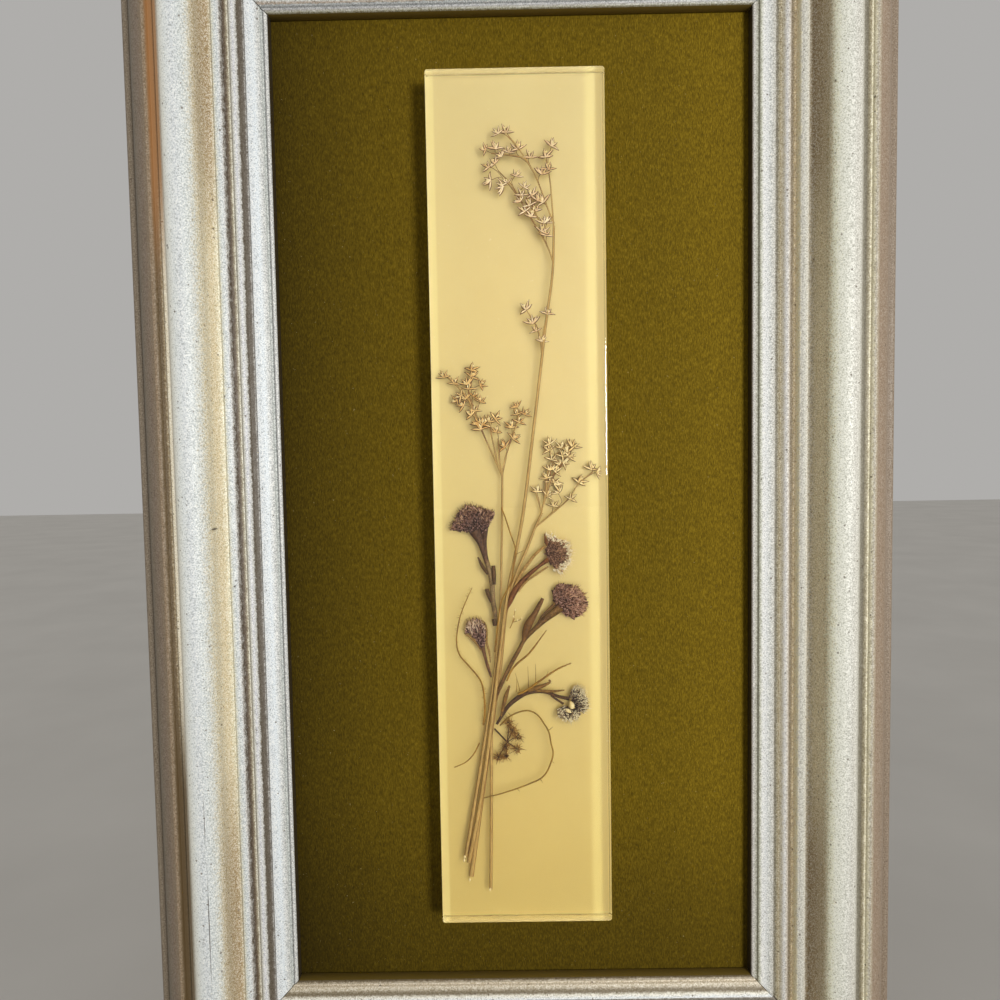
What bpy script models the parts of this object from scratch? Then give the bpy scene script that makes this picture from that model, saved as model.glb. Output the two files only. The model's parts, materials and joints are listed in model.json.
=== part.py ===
"""Dried wild flowers sealed in a long clear resin plaque, mounted on a velvet board in a silver-leafed frame.

The picture hangs upright. Its front faces -Y, up is +Z, and the wall is behind it. The origin is the point on
the back of the top rail where the wall nail carries the sawtooth hanger.
"""

import math

import bmesh
import bpy
from mathutils import Vector

# Driving dimensions, in metres
OPENING_WIDTH = 0.143
OPENING_HEIGHT = 0.296
RAIL_WIDTH = 0.0455
RAIL_HEIGHT = 0.026
SIGHT_HEIGHT = 0.014
REBATE_WIDTH = 0.0065
REBATE_DEPTH = 0.010
PLAQUE_WIDTH = 0.052
PLAQUE_LENGTH = 0.255
PLAQUE_OFFSET_X = 0.0011
PLAQUE_OFFSET_Z = 0.0012
BACKING_THICKNESS = 0.0030
CLEAR_THICKNESS = 0.0059
BOARD_THICKNESS = 0.0032
BACK_PANEL_THICKNESS = 0.0030
HANGER_DROP = 0.012
FIT_GAP = 0.0003

# Places that follow from them. Heights are measured from the wall side of the rails, and the front is at -Y.
HALF_WIDTH = OPENING_WIDTH / 2
HALF_HEIGHT = OPENING_HEIGHT / 2
BOARD_FRONT = REBATE_DEPTH - FIT_GAP
BOARD_BACK = BOARD_FRONT - BOARD_THICKNESS
PANEL_FRONT = BOARD_BACK - FIT_GAP
PANEL_BACK = PANEL_FRONT - BACK_PANEL_THICKNESS
PLAQUE_BACK = BOARD_FRONT + FIT_GAP
CLEAR_BACK = PLAQUE_BACK + BACKING_THICKNESS + FIT_GAP
CLEAR_FRONT = CLEAR_BACK + CLEAR_THICKNESS
PICTURE_CENTRE_Z = -(HALF_HEIGHT + RAIL_WIDTH - HANGER_DROP)

# The flowers lie in three layers between the two halves of the clear resin.
POCKET_BACK = CLEAR_BACK + 0.0010
POCKET_FRONT = CLEAR_FRONT - 0.0012
HALVES_MEET = CLEAR_BACK + 0.0022
DEEP_LAYER = POCKET_BACK + 0.0008
MIDDLE_LAYER = POCKET_BACK + 0.0017
TOP_LAYER = POCKET_BACK + 0.0026
STAGGER = 0.00007
MM = 0.001


def new_material(name, colour, roughness, metallic=0.0, transmission=0.0):
    """A Principled material with one colour."""
    material = bpy.data.materials.new(name)
    material.use_nodes = True
    shader = material.node_tree.nodes["Principled BSDF"]
    shader.inputs["Base Color"].default_value = (*colour, 1.0)
    shader.inputs["Roughness"].default_value = roughness
    shader.inputs["Metallic"].default_value = metallic
    shader.inputs["Transmission Weight"].default_value = transmission
    material.diffuse_color = (*colour, 1.0)
    return material


def new_object(name, shape, material, picture):
    """Puts a finished bmesh into the scene as one named piece, hung from the picture's centre."""
    bmesh.ops.recalc_face_normals(shape, faces=shape.faces)
    mesh = bpy.data.meshes.new(name)
    shape.to_mesh(mesh)
    shape.free()
    mesh.materials.append(material)
    obj = bpy.data.objects.new(name, mesh)
    bpy.context.scene.collection.objects.link(obj)
    obj.parent = picture
    return obj


def hide_helper(obj):
    """A cutter, or a shape that another piece takes in, is no piece of its own."""
    obj.hide_render = True
    obj.display_type = "WIRE"


def add_boolean(obj, other, operation):
    modifier = obj.modifiers.new(operation.lower(), "BOOLEAN")
    modifier.operation = operation
    modifier.solver = "EXACT"
    modifier.use_self = operation == "UNION"
    modifier.object = other


def arc(centre_out, centre_up, radius_out, radius_up, start, end, steps):
    """Points of an arc in the moulding's section, with its angles in degrees."""
    angles = [math.radians(start + (end - start) * step / steps) for step in range(steps + 1)]
    return [(centre_out + radius_out * math.cos(a), centre_up + radius_up * math.sin(a)) for a in angles]


def moulding_section():
    """The moulding's section as (out from the sight edge, up from the wall), in metres.

    From the sight edge outwards: lip, flat, bead between two grooves, ridge, cove, broad crown, deep groove,
    shoulder bead, sloping side and back bead, then the foot and the rebate.
    """
    crown_radius = 5.4
    crown_height = RAIL_HEIGHT / MM
    back_bead = 1.5
    foot_out = RAIL_WIDTH / MM - back_bead + 0.5
    sight = SIGHT_HEIGHT / MM
    rebate_up = REBATE_DEPTH / MM
    rebate_out = REBATE_WIDTH / MM
    section = [(0.0, rebate_up), (0.0, sight - 0.6), (0.3, sight - 0.1), (0.8, sight), (1.2, sight - 0.3)]
    section += [(1.3, sight - 0.8), (2.0, sight - 0.8), (2.2, sight - 0.1), (6.6, sight + 0.6)]
    section += [(6.8, sight - 0.4), (8.6, sight - 0.2)]
    section += arc(10.2, sight + 0.3, 1.0, 1.0, 170, 10, 5)
    section += [(11.4, sight - 0.3), (13.2, sight), (13.4, sight + 1.8), (13.8, sight + 2.2)]
    section += [(15.5, sight + 2.6), (15.9, sight + 2.3)]
    section += arc(16.0, sight + 7.5, 2.6, 5.6, 270, 355, 5)
    section += arc(23.8, crown_height - crown_radius, crown_radius, crown_radius, 163, 25, 10)
    section += [(29.0, crown_height - 3.9), (30.3, crown_height - 4.3), (30.6, crown_height - 5.6)]
    section += [(32.5, crown_height - 6.0)]
    section += arc(33.6, crown_height - 5.9, 1.0, 1.0, 170, 20, 5)
    section += [(36.6, crown_height - 7.4), (39.4, crown_height - 10.0), (41.4, crown_height - 13.2)]
    section += [(42.6, crown_height - 16.4)]
    section += arc(RAIL_WIDTH / MM - back_bead, crown_height - 17.8, back_bead, back_bead, 110, -50, 6)
    section += [(foot_out, crown_height - 20.0), (foot_out, 0.0), (rebate_out, 0.0), (rebate_out, rebate_up)]
    return [(out * MM, up * MM) for out, up in section]


def make_rail(name, side, material, picture):
    """One mitred length of moulding. side is (x, z), the way outwards from the opening."""
    side_x, side_z = side
    shape = bmesh.new()
    ends = []
    for end in (-1, 1):
        ring = []
        for out, up in moulding_section():
            if side_x:
                x = side_x * (HALF_WIDTH + out)
                z = end * (HALF_HEIGHT + out - FIT_GAP / 2)
            else:
                x = end * (HALF_WIDTH + out - FIT_GAP / 2)
                z = side_z * (HALF_HEIGHT + out)
            ring.append(shape.verts.new((x, -up, z)))
        ends.append(ring)
    first, last = ends
    for i in range(len(first)):
        j = (i + 1) % len(first)
        shape.faces.new((first[i], first[j], last[j], last[i]))
    shape.faces.new(first)
    shape.faces.new(last)
    return new_object(name, shape, material, picture)


def add_box(shape, centre, size):
    made = bmesh.ops.create_cube(shape, size=1.0)
    bmesh.ops.scale(shape, vec=size, verts=made["verts"])
    bmesh.ops.translate(shape, vec=centre, verts=made["verts"])


def rounded_outline(width, length, radius, corner_steps=3):
    """Points round a rectangle with rounded corners, as (x, z)."""
    outline = []
    for quarter, (sign_x, sign_z) in enumerate(((1, 1), (-1, 1), (-1, -1), (1, -1))):
        for step in range(corner_steps + 1):
            angle = math.radians(90 * (quarter + step / corner_steps))
            x = sign_x * (width / 2 - radius) + radius * math.cos(angle)
            z = sign_z * (length / 2 - radius) + radius * math.sin(angle)
            outline.append((x, z))
    return outline


def make_slab(name, width, length, radius, levels, material, picture):
    """A plate with rounded corners. levels is a list of (height, inset), from the back to the front."""
    shape = bmesh.new()
    rings = []
    for height, inset in levels:
        outline = rounded_outline(width - 2 * inset, length - 2 * inset, max(radius - inset, 0.0002))
        rings.append([shape.verts.new((x, -height, z)) for x, z in outline])
    for lower, upper in zip(rings, rings[1:]):
        for i in range(len(lower)):
            j = (i + 1) % len(lower)
            shape.faces.new((lower[i], lower[j], upper[j], upper[i]))
    shape.faces.new(rings[0])
    shape.faces.new(rings[-1])
    return new_object(name, shape, material, picture)


def make_plaque(picture):
    """The cream backing and the two halves of the clear resin, with the flowers' pocket between them."""
    cream = new_material("cream_resin", (0.75, 0.62, 0.26), 0.35)
    clear = new_material("clear_resin", (0.98, 0.95, 0.85), 0.03, transmission=1.0)
    corner = 0.0008
    arris = 0.0003
    cushion_width = 0.0012
    cushion_fall = 0.0002
    pocket_side = 0.0006
    pocket_top = 0.009
    pocket_bottom = 0.005
    backing_front = PLAQUE_BACK + BACKING_THICKNESS
    place = (PLAQUE_OFFSET_X, 0, PLAQUE_OFFSET_Z)
    size = (PLAQUE_WIDTH, PLAQUE_LENGTH, corner)

    backing_levels = [(PLAQUE_BACK, arris), (PLAQUE_BACK + arris, 0), (backing_front, 0)]
    backing = make_slab("cream_backing", *size, backing_levels, cream, picture)
    backing.location = place

    lower_front = HALVES_MEET - FIT_GAP / 2
    lower = make_slab("clear_resin_back", *size, [(CLEAR_BACK, 0), (lower_front, 0)], clear, picture)
    lower.location = place
    upper_levels = [
        (HALVES_MEET + FIT_GAP / 2, 0),
        (CLEAR_FRONT - cushion_fall - arris, 0),
        (CLEAR_FRONT - cushion_fall, arris),
        (CLEAR_FRONT, cushion_width),
    ]
    upper = make_slab("clear_resin_front", *size, upper_levels, clear, picture)
    upper.location = place

    pocket = bmesh.new()
    pocket_length = PLAQUE_LENGTH - pocket_top - pocket_bottom
    add_box(
        pocket,
        (0, -(POCKET_BACK + POCKET_FRONT) / 2, (pocket_bottom - pocket_top) / 2),
        (PLAQUE_WIDTH - 2 * pocket_side, POCKET_FRONT - POCKET_BACK, pocket_length),
    )
    cutter = new_object("flower_pocket", pocket, clear, picture)
    cutter.location = place
    hide_helper(cutter)
    add_boolean(lower, cutter, "DIFFERENCE")
    add_boolean(upper, cutter, "DIFFERENCE")


def make_boards(picture):
    """The velvet-covered board behind the opening, and the plain panel behind it."""
    velvet = new_material("olive_velvet", (0.11, 0.08, 0.008), 0.95)
    card = new_material("grey_board", (0.32, 0.27, 0.2), 0.9)
    corner = 0.0010
    fabric_turn = 0.0004
    reach = 2 * (REBATE_WIDTH - FIT_GAP)
    size = (OPENING_WIDTH + reach, OPENING_HEIGHT + reach, corner)
    board = [(BOARD_BACK, 0), (BOARD_FRONT - fabric_turn, 0), (BOARD_FRONT, fabric_turn)]
    make_slab("velvet_board", *size, board, velvet, picture)
    make_slab("back_panel", *size, [(PANEL_BACK, 0), (PANEL_FRONT, 0)], card, picture)


def make_framing_points(rails, picture):
    """Flat steel points driven into the rebate to hold the boards, with their slots in the rails."""
    steel = new_material("bright_steel", (0.6, 0.6, 0.6), 0.35, metallic=1.0)
    length, width, thickness = 0.011, 0.0060, 0.0008
    driven = 0.0050
    height = PANEL_BACK - FIT_GAP - thickness / 2
    middle = REBATE_WIDTH + driven - length / 2
    spread = 0.092
    places = [("left", -1, 0, z) for z in (spread, 0, -spread)]
    places += [("right", 1, 0, z) for z in (spread, 0, -spread)]
    places += [("top", 0, 1, 0), ("bottom", 0, -1, 0)]
    slots = {name: bmesh.new() for name in rails}
    for number, (rail, side_x, side_z, along) in enumerate(places, start=1):
        if side_x:
            centre = (side_x * (HALF_WIDTH + middle), -height, along)
            size = (length, thickness, width)
        else:
            centre = (along, -height, side_z * (HALF_HEIGHT + middle))
            size = (width, thickness, length)
        point = bmesh.new()
        add_box(point, (0, 0, 0), size)
        obj = new_object(f"framing_point_{number}", point, steel, picture)
        obj.location = centre
        add_box(slots[rail], centre, [side + 2 * FIT_GAP for side in size])
    for name, slot in slots.items():
        cutter = new_object(f"{name}_point_slots", slot, steel, picture)
        hide_helper(cutter)
        add_boolean(rails[name], cutter, "DIFFERENCE")
    return steel


def make_hanger(rail, steel, picture):
    """The sawtooth hanger on the back of the top rail, with its two nails and their holes."""
    plate_length, plate_height, plate_thickness = 0.045, 0.009, 0.0008
    raised_length = 0.025
    raised_by = 0.0012
    ramp = 0.0015
    teeth = 5
    tooth_depth = 0.0022
    nail_reach = 0.010
    shank_radius = 0.0006
    head_radius = 0.0016
    head_height = 0.0008
    head_taper = 0.8
    nail_x = 0.0175
    tooth = raised_length / teeth

    plate = bmesh.new()
    outline = [(-plate_length / 2, plate_height / 2), (-plate_length / 2, -plate_height / 2)]
    outline.append((-raised_length / 2, -plate_height / 2))
    for number in range(teeth):
        left = -raised_length / 2 + number * tooth
        outline.append((left + tooth / 2, -plate_height / 2 + tooth_depth))
        outline.append((left + tooth, -plate_height / 2))
    outline += [(plate_length / 2, -plate_height / 2), (plate_length / 2, plate_height / 2)]
    corners = [plate.verts.new((x, FIT_GAP, z)) for x, z in outline]
    face = plate.faces.new(corners)
    made = bmesh.ops.extrude_face_region(plate, geom=[face])
    moved = [item for item in made["geom"] if isinstance(item, bmesh.types.BMVert)]
    bmesh.ops.translate(plate, vec=(0, plate_thickness, 0), verts=moved)
    for fold in (-raised_length / 2 - ramp, -raised_length / 2, raised_length / 2, raised_length / 2 + ramp):
        everything = plate.verts[:] + plate.edges[:] + plate.faces[:]
        bmesh.ops.bisect_plane(plate, geom=everything, plane_co=(fold, 0, 0), plane_no=(1, 0, 0))
    middle = [vert for vert in plate.verts if abs(vert.co.x) < raised_length / 2 + ramp / 2]
    bmesh.ops.translate(plate, vec=(0, raised_by, 0), verts=middle)
    hanger = new_object("sawtooth_hanger", plate, steel, picture)
    centre_z = -PICTURE_CENTRE_Z + plate_height / 2 - tooth_depth
    hanger.location = (0, 0, centre_z)

    head_back = FIT_GAP + plate_thickness + FIT_GAP
    nail_profile = [
        (0.0, head_back - nail_reach),
        (shank_radius, head_back - nail_reach + 2 * shank_radius),
        (shank_radius, head_back),
        (head_radius, head_back),
        (head_radius * head_taper, head_back + head_height),
        (0.0, head_back + head_height),
    ]
    hole_radius = shank_radius + FIT_GAP
    hole_depth = nail_reach + FIT_GAP
    hole_profile = [(0.0, -hole_depth), (hole_radius, -hole_depth)]
    hole_profile += [(hole_radius, hole_depth), (0.0, hole_depth)]
    holes = bmesh.new()
    for number, x in enumerate((-nail_x, nail_x), start=1):
        nail = bmesh.new()
        add_turned(nail, nail_profile, (0, 0, 0))
        obj = new_object(f"hanger_nail_{number}", nail, steel, picture)
        obj.location = (x, 0, centre_z)
        add_turned(holes, hole_profile, (x, 0, centre_z))
    cutter = new_object("hanger_nail_holes", holes, steel, picture)
    hide_helper(cutter)
    for piece in (hanger, rail):
        add_boolean(piece, cutter, "DIFFERENCE")


def add_turned(shape, profile, centre, steps=12):
    """Spins a profile of (radius, along Y), from axis to axis, into a round solid."""
    x, y, z = centre
    verts = [shape.verts.new((x + radius, y + along, z)) for radius, along in profile]
    edges = [shape.edges.new(pair) for pair in zip(verts, verts[1:])]
    bmesh.ops.spin(shape, geom=verts + edges, cent=centre, axis=(0, 1, 0), angle=math.tau, steps=steps)
    bmesh.ops.remove_doubles(shape, verts=shape.verts[:], dist=0.00001)


def curved(points, steps=2):
    """A smooth route of (x, z) through a few points chosen by eye."""
    line = [Vector(point) for point in points]
    line = [2 * line[0] - line[1]] + line + [2 * line[-1] - line[-2]]
    route = []
    for before, start, end, after in zip(line, line[1:], line[2:], line[3:]):
        for step in range(steps):
            t = step / steps
            pull_in = (end - before) * t
            bend = (2 * before - 5 * start + 4 * end - after) * t * t
            pull_out = (3 * start - before - 3 * end + after) * t**3
            route.append(start + (pull_in + bend + pull_out) / 2)
    route.append(line[-2])
    return route


def width_at(widths, share):
    """The width at a share of the way along, from widths spread evenly."""
    place = share * (len(widths) - 1)
    first = min(int(place), len(widths) - 2)
    return widths[first] + (widths[first + 1] - widths[first]) * (place - first)


def add_strand(shape, route, layer, widths, thickness, sides=5):
    """A stem, leaf or bract: a closed tube along a route of (x, z), flattened from front to back, all in mm.

    layer is the height of its middle, in metres, and widths are spread evenly along the route.
    """
    points = [Vector(point) for point in route]
    rings = []
    for i, point in enumerate(points):
        along = (points[min(i + 1, len(points) - 1)] - points[max(i - 1, 0)]).normalized()
        across = Vector((-along.y, along.x))
        share = i / (len(points) - 1)
        half_width = width_at(widths, share) / 2
        half_thickness = min(thickness / 2, half_width * 1.2)
        ring = []
        for side in range(sides):
            angle = math.tau * side / sides
            flat = point + across * half_width * math.cos(angle)
            depth = layer / MM + half_thickness * math.sin(angle)
            ring.append(shape.verts.new((flat.x * MM, -depth * MM, flat.y * MM)))
        rings.append(ring)
    for lower, upper in zip(rings, rings[1:]):
        for i in range(sides):
            j = (i + 1) % sides
            shape.faces.new((lower[i], lower[j], upper[j], upper[i]))
    shape.faces.new(rings[0])
    shape.faces.new(rings[-1])


def turned_by(direction, degrees):
    angle = math.radians(degrees)
    return Vector(
        (
            direction.x * math.cos(angle) - direction.y * math.sin(angle),
            direction.x * math.sin(angle) + direction.y * math.cos(angle),
        )
    )


def add_star(shape, centre, outline, layer, half_thickness):
    """A flat star of pointed scales, thickest at its centre. Its outline of (x, z) goes round it, in mm."""
    rim = [shape.verts.new((x * MM, -layer, z * MM)) for x, z in outline]
    front = shape.verts.new((centre.x * MM, -layer - half_thickness * MM, centre.y * MM))
    back = shape.verts.new((centre.x * MM, -layer + half_thickness * MM, centre.y * MM))
    for i, start in enumerate(rim):
        end = rim[(i + 1) % len(rim)]
        shape.faces.new((start, end, front))
        shape.faces.new((end, start, back))


def add_floret(shape, at, stalk_from, layer, size=1.7):
    """One rush floret: a star of four pointed scales, whose fifth point is its thin stalk."""
    half_thickness = 0.55
    stalk_overlap = 0.1
    centre = Vector(at)
    away = (centre - stalk_from).normalized()
    outline = [stalk_from - stalk_overlap * away]
    for turn, reach in ((-130, 0.2), (-78, 0.85), (-52, 0.35), (-26, 1.0), (0, 0.4)):
        outline.append(centre + size * reach * turned_by(away, turn))
    for turn, reach in ((26, 1.0), (52, 0.35), (78, 0.85), (130, 0.2)):
        outline.append(centre + size * reach * turned_by(away, turn))
    add_star(shape, centre, outline, layer, half_thickness)


def nearest_branch(at, branches, lower_by=2.0):
    """The place on a branch that a floret's stalk grows from, a little way below the floret."""
    aim = Vector(at) - Vector((0, lower_by))
    places = [point for branch in branches for point in branch]
    return min(places, key=lambda place: (place - aim).length)


def add_panicle(shape, branches, florets, layer):
    """A rush's loose flower head: its branches and the florets along them."""
    widths = [0.55, 0.35]
    thickness = 0.4
    routes = [curved(branch) for branch in branches]
    for number, route in enumerate(routes):
        add_strand(shape, route, layer + STAGGER * (number % 3 - 1), widths, thickness, sides=4)
    for number, at in enumerate(florets):
        add_floret(shape, at, nearest_branch(at, routes), layer + STAGGER * (number % 5 - 2.5) / 4)


def add_flower_head(shape, base, facing, spread, reach, bracts, layer):
    """A pressed cat's-foot head: two fans of pointed bracts, one before the other. Angles are in degrees."""
    neck = 0.8
    half_thickness = 0.9
    thickest_at = 0.42
    notch_share = 0.74
    bract_shares = (1.0, 0.9, 0.96)
    fans = ((-0.35, 1.0), (0.35, 0.9))
    base = Vector(base)
    heading = turned_by(Vector((1, 0)), facing)
    across = turned_by(heading, 90)
    centre = base + thickest_at * reach * heading
    for fan, (rise, fan_reach) in enumerate(fans):
        outline = [base - neck * across]
        step = 2 * spread / (bracts + fan)
        for number in range(bracts + fan):
            tip = turned_by(heading, -spread + (number + 0.5) * step)
            notch = turned_by(heading, -spread + (number + 1) * step)
            length = reach * fan_reach * bract_shares[number % len(bract_shares)]
            outline.append(base + length * tip)
            if number < bracts + fan - 1:
                outline.append(base + notch_share * length * notch)
        outline.append(base + neck * across)
        add_star(shape, centre, outline, layer + rise * MM, half_thickness)


def grow(name, stem, others, material, picture):
    """Joins a plant's main stem with all that grows from it, as the one solid that it is."""
    body = new_object(name, stem, material, picture)
    growth = new_object(name + "_growth", others, material, picture)
    hide_helper(growth)
    add_boolean(body, growth, "UNION")


def grow_strand(name, points, layer, widths, thickness, material, picture):
    """A plain stem or tendril with nothing growing from it."""
    stem = bmesh.new()
    add_strand(stem, curved(points), layer, widths, thickness)
    new_object(name, stem, material, picture)


def make_rushes(picture):
    """Three rush stems with loose heads of small starry florets. Routes are (x, z) in mm."""
    straw = new_material("dry_rush", (0.42, 0.26, 0.10), 0.6)
    stem_thickness = 0.6

    stem, florets = bmesh.new(), bmesh.new()
    route = [(12, 84), (11.5, 70.5), (9.5, 57), (7, 38), (5, 23), (1.5, -2), (-3, -23), (-5, -36)]
    route += [(-8.5, -62), (-12.5, -88), (-16.6, -108)]
    add_strand(stem, curved(route), TOP_LAYER, [0.6, 0.9, 1.1, 1.1], stem_thickness)
    branches = [
        [(12, 83), (11.5, 91.5), (11, 97.5), (10, 103)],
        [(12, 84.5), (10.5, 88.5), (8, 95.5), (5.5, 101), (1.5, 107), (-1, 110)],
        [(11.5, 74), (10.5, 77), (8, 82), (4.5, 87.5), (0.5, 95), (-4, 100)],
        [(6, 100), (3.5, 103.5), (-1, 104.5), (-6, 105)],
    ]
    florets_at = [(-4, 112), (-1, 107), (-5.5, 108), (-9, 106), (-7.5, 102), (-7.5, 97.5), (-3.5, 96.5)]
    florets_at += [(0.5, 100), (5, 92), (1.5, 91.5), (3.5, 97), (7.5, 89.5), (9, 86), (8, 102), (12, 106.5)]
    add_panicle(florets, branches, florets_at, TOP_LAYER)
    side_branch = [[(8, 46.5), (7.5, 52), (6, 56), (4, 59)], [(8, 46.5), (8.3, 52), (9.3, 57)]]
    add_panicle(florets, side_branch, [(3, 61), (9.8, 59.5), (5, 54), (6.2, 51.5)], TOP_LAYER)
    grow("tall_rush", stem, florets, straw, picture)

    stem, florets = bmesh.new(), bmesh.new()
    route = [(-4.3, 12), (-4.5, 3.5), (-5, -14.5), (-5.7, -30), (-7.5, -48), (-11, -70), (-14.5, -90)]
    route.append((-17.5, -106.5))
    add_strand(stem, curved(route), MIDDLE_LAYER, [0.8, 0.9, 1.1], stem_thickness)
    branches = [
        [(-4.3, 10.5), (-6, 14.5), (-9, 21.5), (-12, 28.5), (-14, 35), (-13.5, 40)],
        [(-12, 30), (-15, 35), (-18.5, 39), (-21, 41)],
        [(-4.3, 10.5), (-3.7, 15), (-1.5, 21.5), (0.5, 27.5), (1, 30.5)],
        [(-5.4, 13.2), (-6.8, 20), (-8, 26)],
    ]
    florets_at = [(-22.5, 42), (-18.5, 41.5), (-13, 43), (-15.5, 39.5), (-10, 39), (-17.5, 35), (-12, 36)]
    florets_at += [(-9, 34), (-14.5, 30.5), (-11.8, 26.5), (-8.5, 29), (-5.5, 28), (0, 33), (3.5, 30.5)]
    florets_at += [(-2.5, 26.5), (1.8, 26.5), (-6.3, 24), (0.5, 22.5), (-4.5, 20)]
    add_panicle(florets, branches, florets_at, MIDDLE_LAYER)
    grow("left_rush", stem, florets, straw, picture)

    stem, florets = bmesh.new(), bmesh.new()
    route = [(7.5, -0.5), (5.5, -4.5), (2.5, -12), (-1, -20), (-4, -31), (-6, -48), (-9.5, -70)]
    route.append((-16, -113.5))
    add_strand(stem, curved(route), DEEP_LAYER, [0.8, 0.9, 1.1], stem_thickness)
    branches = [
        [(7, -1.5), (8.5, 5), (9.5, 12.5), (13, 18), (16.5, 20)],
        [(5.5, -4.8), (9, -2), (15.5, 3.5), (18.5, 8), (23, 11.5)],
        [(7.3, 0), (5.5, 6)],
        [(8.6, 6), (11.5, 12), (16, 16.5)],
    ]
    florets_at = [(9.5, 21.5), (12.5, 21), (17.5, 21), (14, 16), (17.5, 17), (10.3, 16.5), (8, 11.5)]
    florets_at += [(11.5, 14), (6, 8), (10, 5.5), (12.5, 8), (19.5, 10.5), (22, 14), (24, 12.5)]
    florets_at += [(17, 5.5), (10.5, 2.5)]
    add_panicle(florets, branches, florets_at, DEEP_LAYER)
    grow("right_rush", stem, florets, straw, picture)

    route = [(-9, -68.5), (-9.3, -85), (-9.6, -101), (-10, -117.5)]
    grow_strand("straw_stem", route, MIDDLE_LAYER, [0.9, 0.9], stem_thickness, straw, picture)


def make_cats_foot_flowers(picture):
    """Five cat's-foot stems with their small leaves and pressed heads. Routes are (x, z) in mm."""
    plum = new_material("dark_plum_flower", (0.12, 0.055, 0.045), 0.8)
    rose = new_material("rose_brown_flower", (0.2, 0.09, 0.07), 0.8)
    pale = new_material("pale_flower", (0.5, 0.42, 0.32), 0.75)
    stem_thickness = 0.6

    stem, rest = bmesh.new(), bmesh.new()
    route = [(-12.3, -5.8), (-11, -12), (-9.5, -17), (-8, -22), (-7.3, -30), (-7, -34.5)]
    add_strand(stem, curved(route), MIDDLE_LAYER, [2.4, 1.6, 1.4, 0.9], stem_thickness)
    add_flower_head(rest, (-12.2, -6.5), 102, 52, 8.2, 13, MIDDLE_LAYER)
    leaflets = [[(-9.5, -18), (-11, -16), (-12.2, -13.2)], [(-7.8, -23), (-7.6, -19.5), (-7.2, -16.2)]]
    leaflets.append([(-8, -28), (-9, -25.5), (-10, -23)])
    for leaflet in leaflets:
        add_strand(rest, leaflet, MIDDLE_LAYER, [0.6, 1.3, 0.4], 0.4, sides=4)
    grow("upper_left_flower", stem, rest, plum, picture)

    stem, rest = bmesh.new(), bmesh.new()
    route = [(9, -14.8), (5.5, -17), (2.5, -18.8), (-0.5, -22.5), (-2.4, -26), (-3.9, -29.5)]
    add_strand(stem, curved(route), MIDDLE_LAYER, [1.4, 1.1, 1.5, 0.5], stem_thickness)
    add_flower_head(rest, (8.6, -14.8), 22, 74, 7.6, 13, MIDDLE_LAYER)
    side_stalk = [(7.8, -11.5), (5.5, -13), (2.3, -18), (-1, -23)]
    add_strand(rest, side_stalk, MIDDLE_LAYER, [0.6, 0.6], 0.4, sides=4)
    grow("white_tipped_flower", stem, rest, pale, picture)

    stem, rest = bmesh.new(), bmesh.new()
    route = [(12, -29), (8.5, -32), (5.5, -35), (1, -39.5), (-2.4, -46), (-5, -52), (-7.4, -57)]
    add_strand(stem, curved(route), MIDDLE_LAYER, [1.9, 1.7, 1.2, 1.1, 0.7], stem_thickness)
    add_flower_head(rest, (11.6, -29.3), 26, 74, 8.6, 14, MIDDLE_LAYER)
    leaf = [(1, -39.5), (2.2, -35.5), (3.8, -32), (5.8, -28.5), (7.2, -26)]
    add_strand(rest, leaf, MIDDLE_LAYER, [0.9, 2.3, 2.2, 1.3, 0.4], 0.4, sides=4)
    grow("rose_flower", stem, rest, rose, picture)

    stem, rest = bmesh.new(), bmesh.new()
    route = [(-11.6, -41), (-10.7, -44.5), (-9.8, -47.5), (-9, -50.5)]
    add_strand(stem, curved(route), DEEP_LAYER, [1.1, 0.8, 0.9, 0.5], stem_thickness)
    add_flower_head(rest, (-11.6, -41.5), 103, 34, 7.6, 8, DEEP_LAYER + 0.0006)
    grow("lower_left_flower", stem, rest, plum, picture)

    stem, rest = bmesh.new(), bmesh.new()
    route = [(14.2, -58.2), (8.5, -56.3), (5, -55.3), (0.5, -56), (-3, -58.5), (-5.6, -62), (-7, -65)]
    add_strand(stem, curved(route), MIDDLE_LAYER, [1.1, 0.8, 1.3, 1.5, 0.7], stem_thickness)
    add_flower_head(rest, (12.6, -58), -17, 84, 7.4, 14, MIDDLE_LAYER)
    leaves = [[(2.5, -55.6), (5.5, -54), (9, -52)], [(5.5, -55.4), (9, -55.3), (12, -54.6)]]
    leaves.append([(-4.8, -61), (-4, -57), (-3, -53.5)])
    for leaf in leaves:
        add_strand(rest, leaf, MIDDLE_LAYER, [0.6, 1.3, 0.4], 0.4, sides=4)
    grow("speckled_flower", stem, rest, pale, picture)


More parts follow.
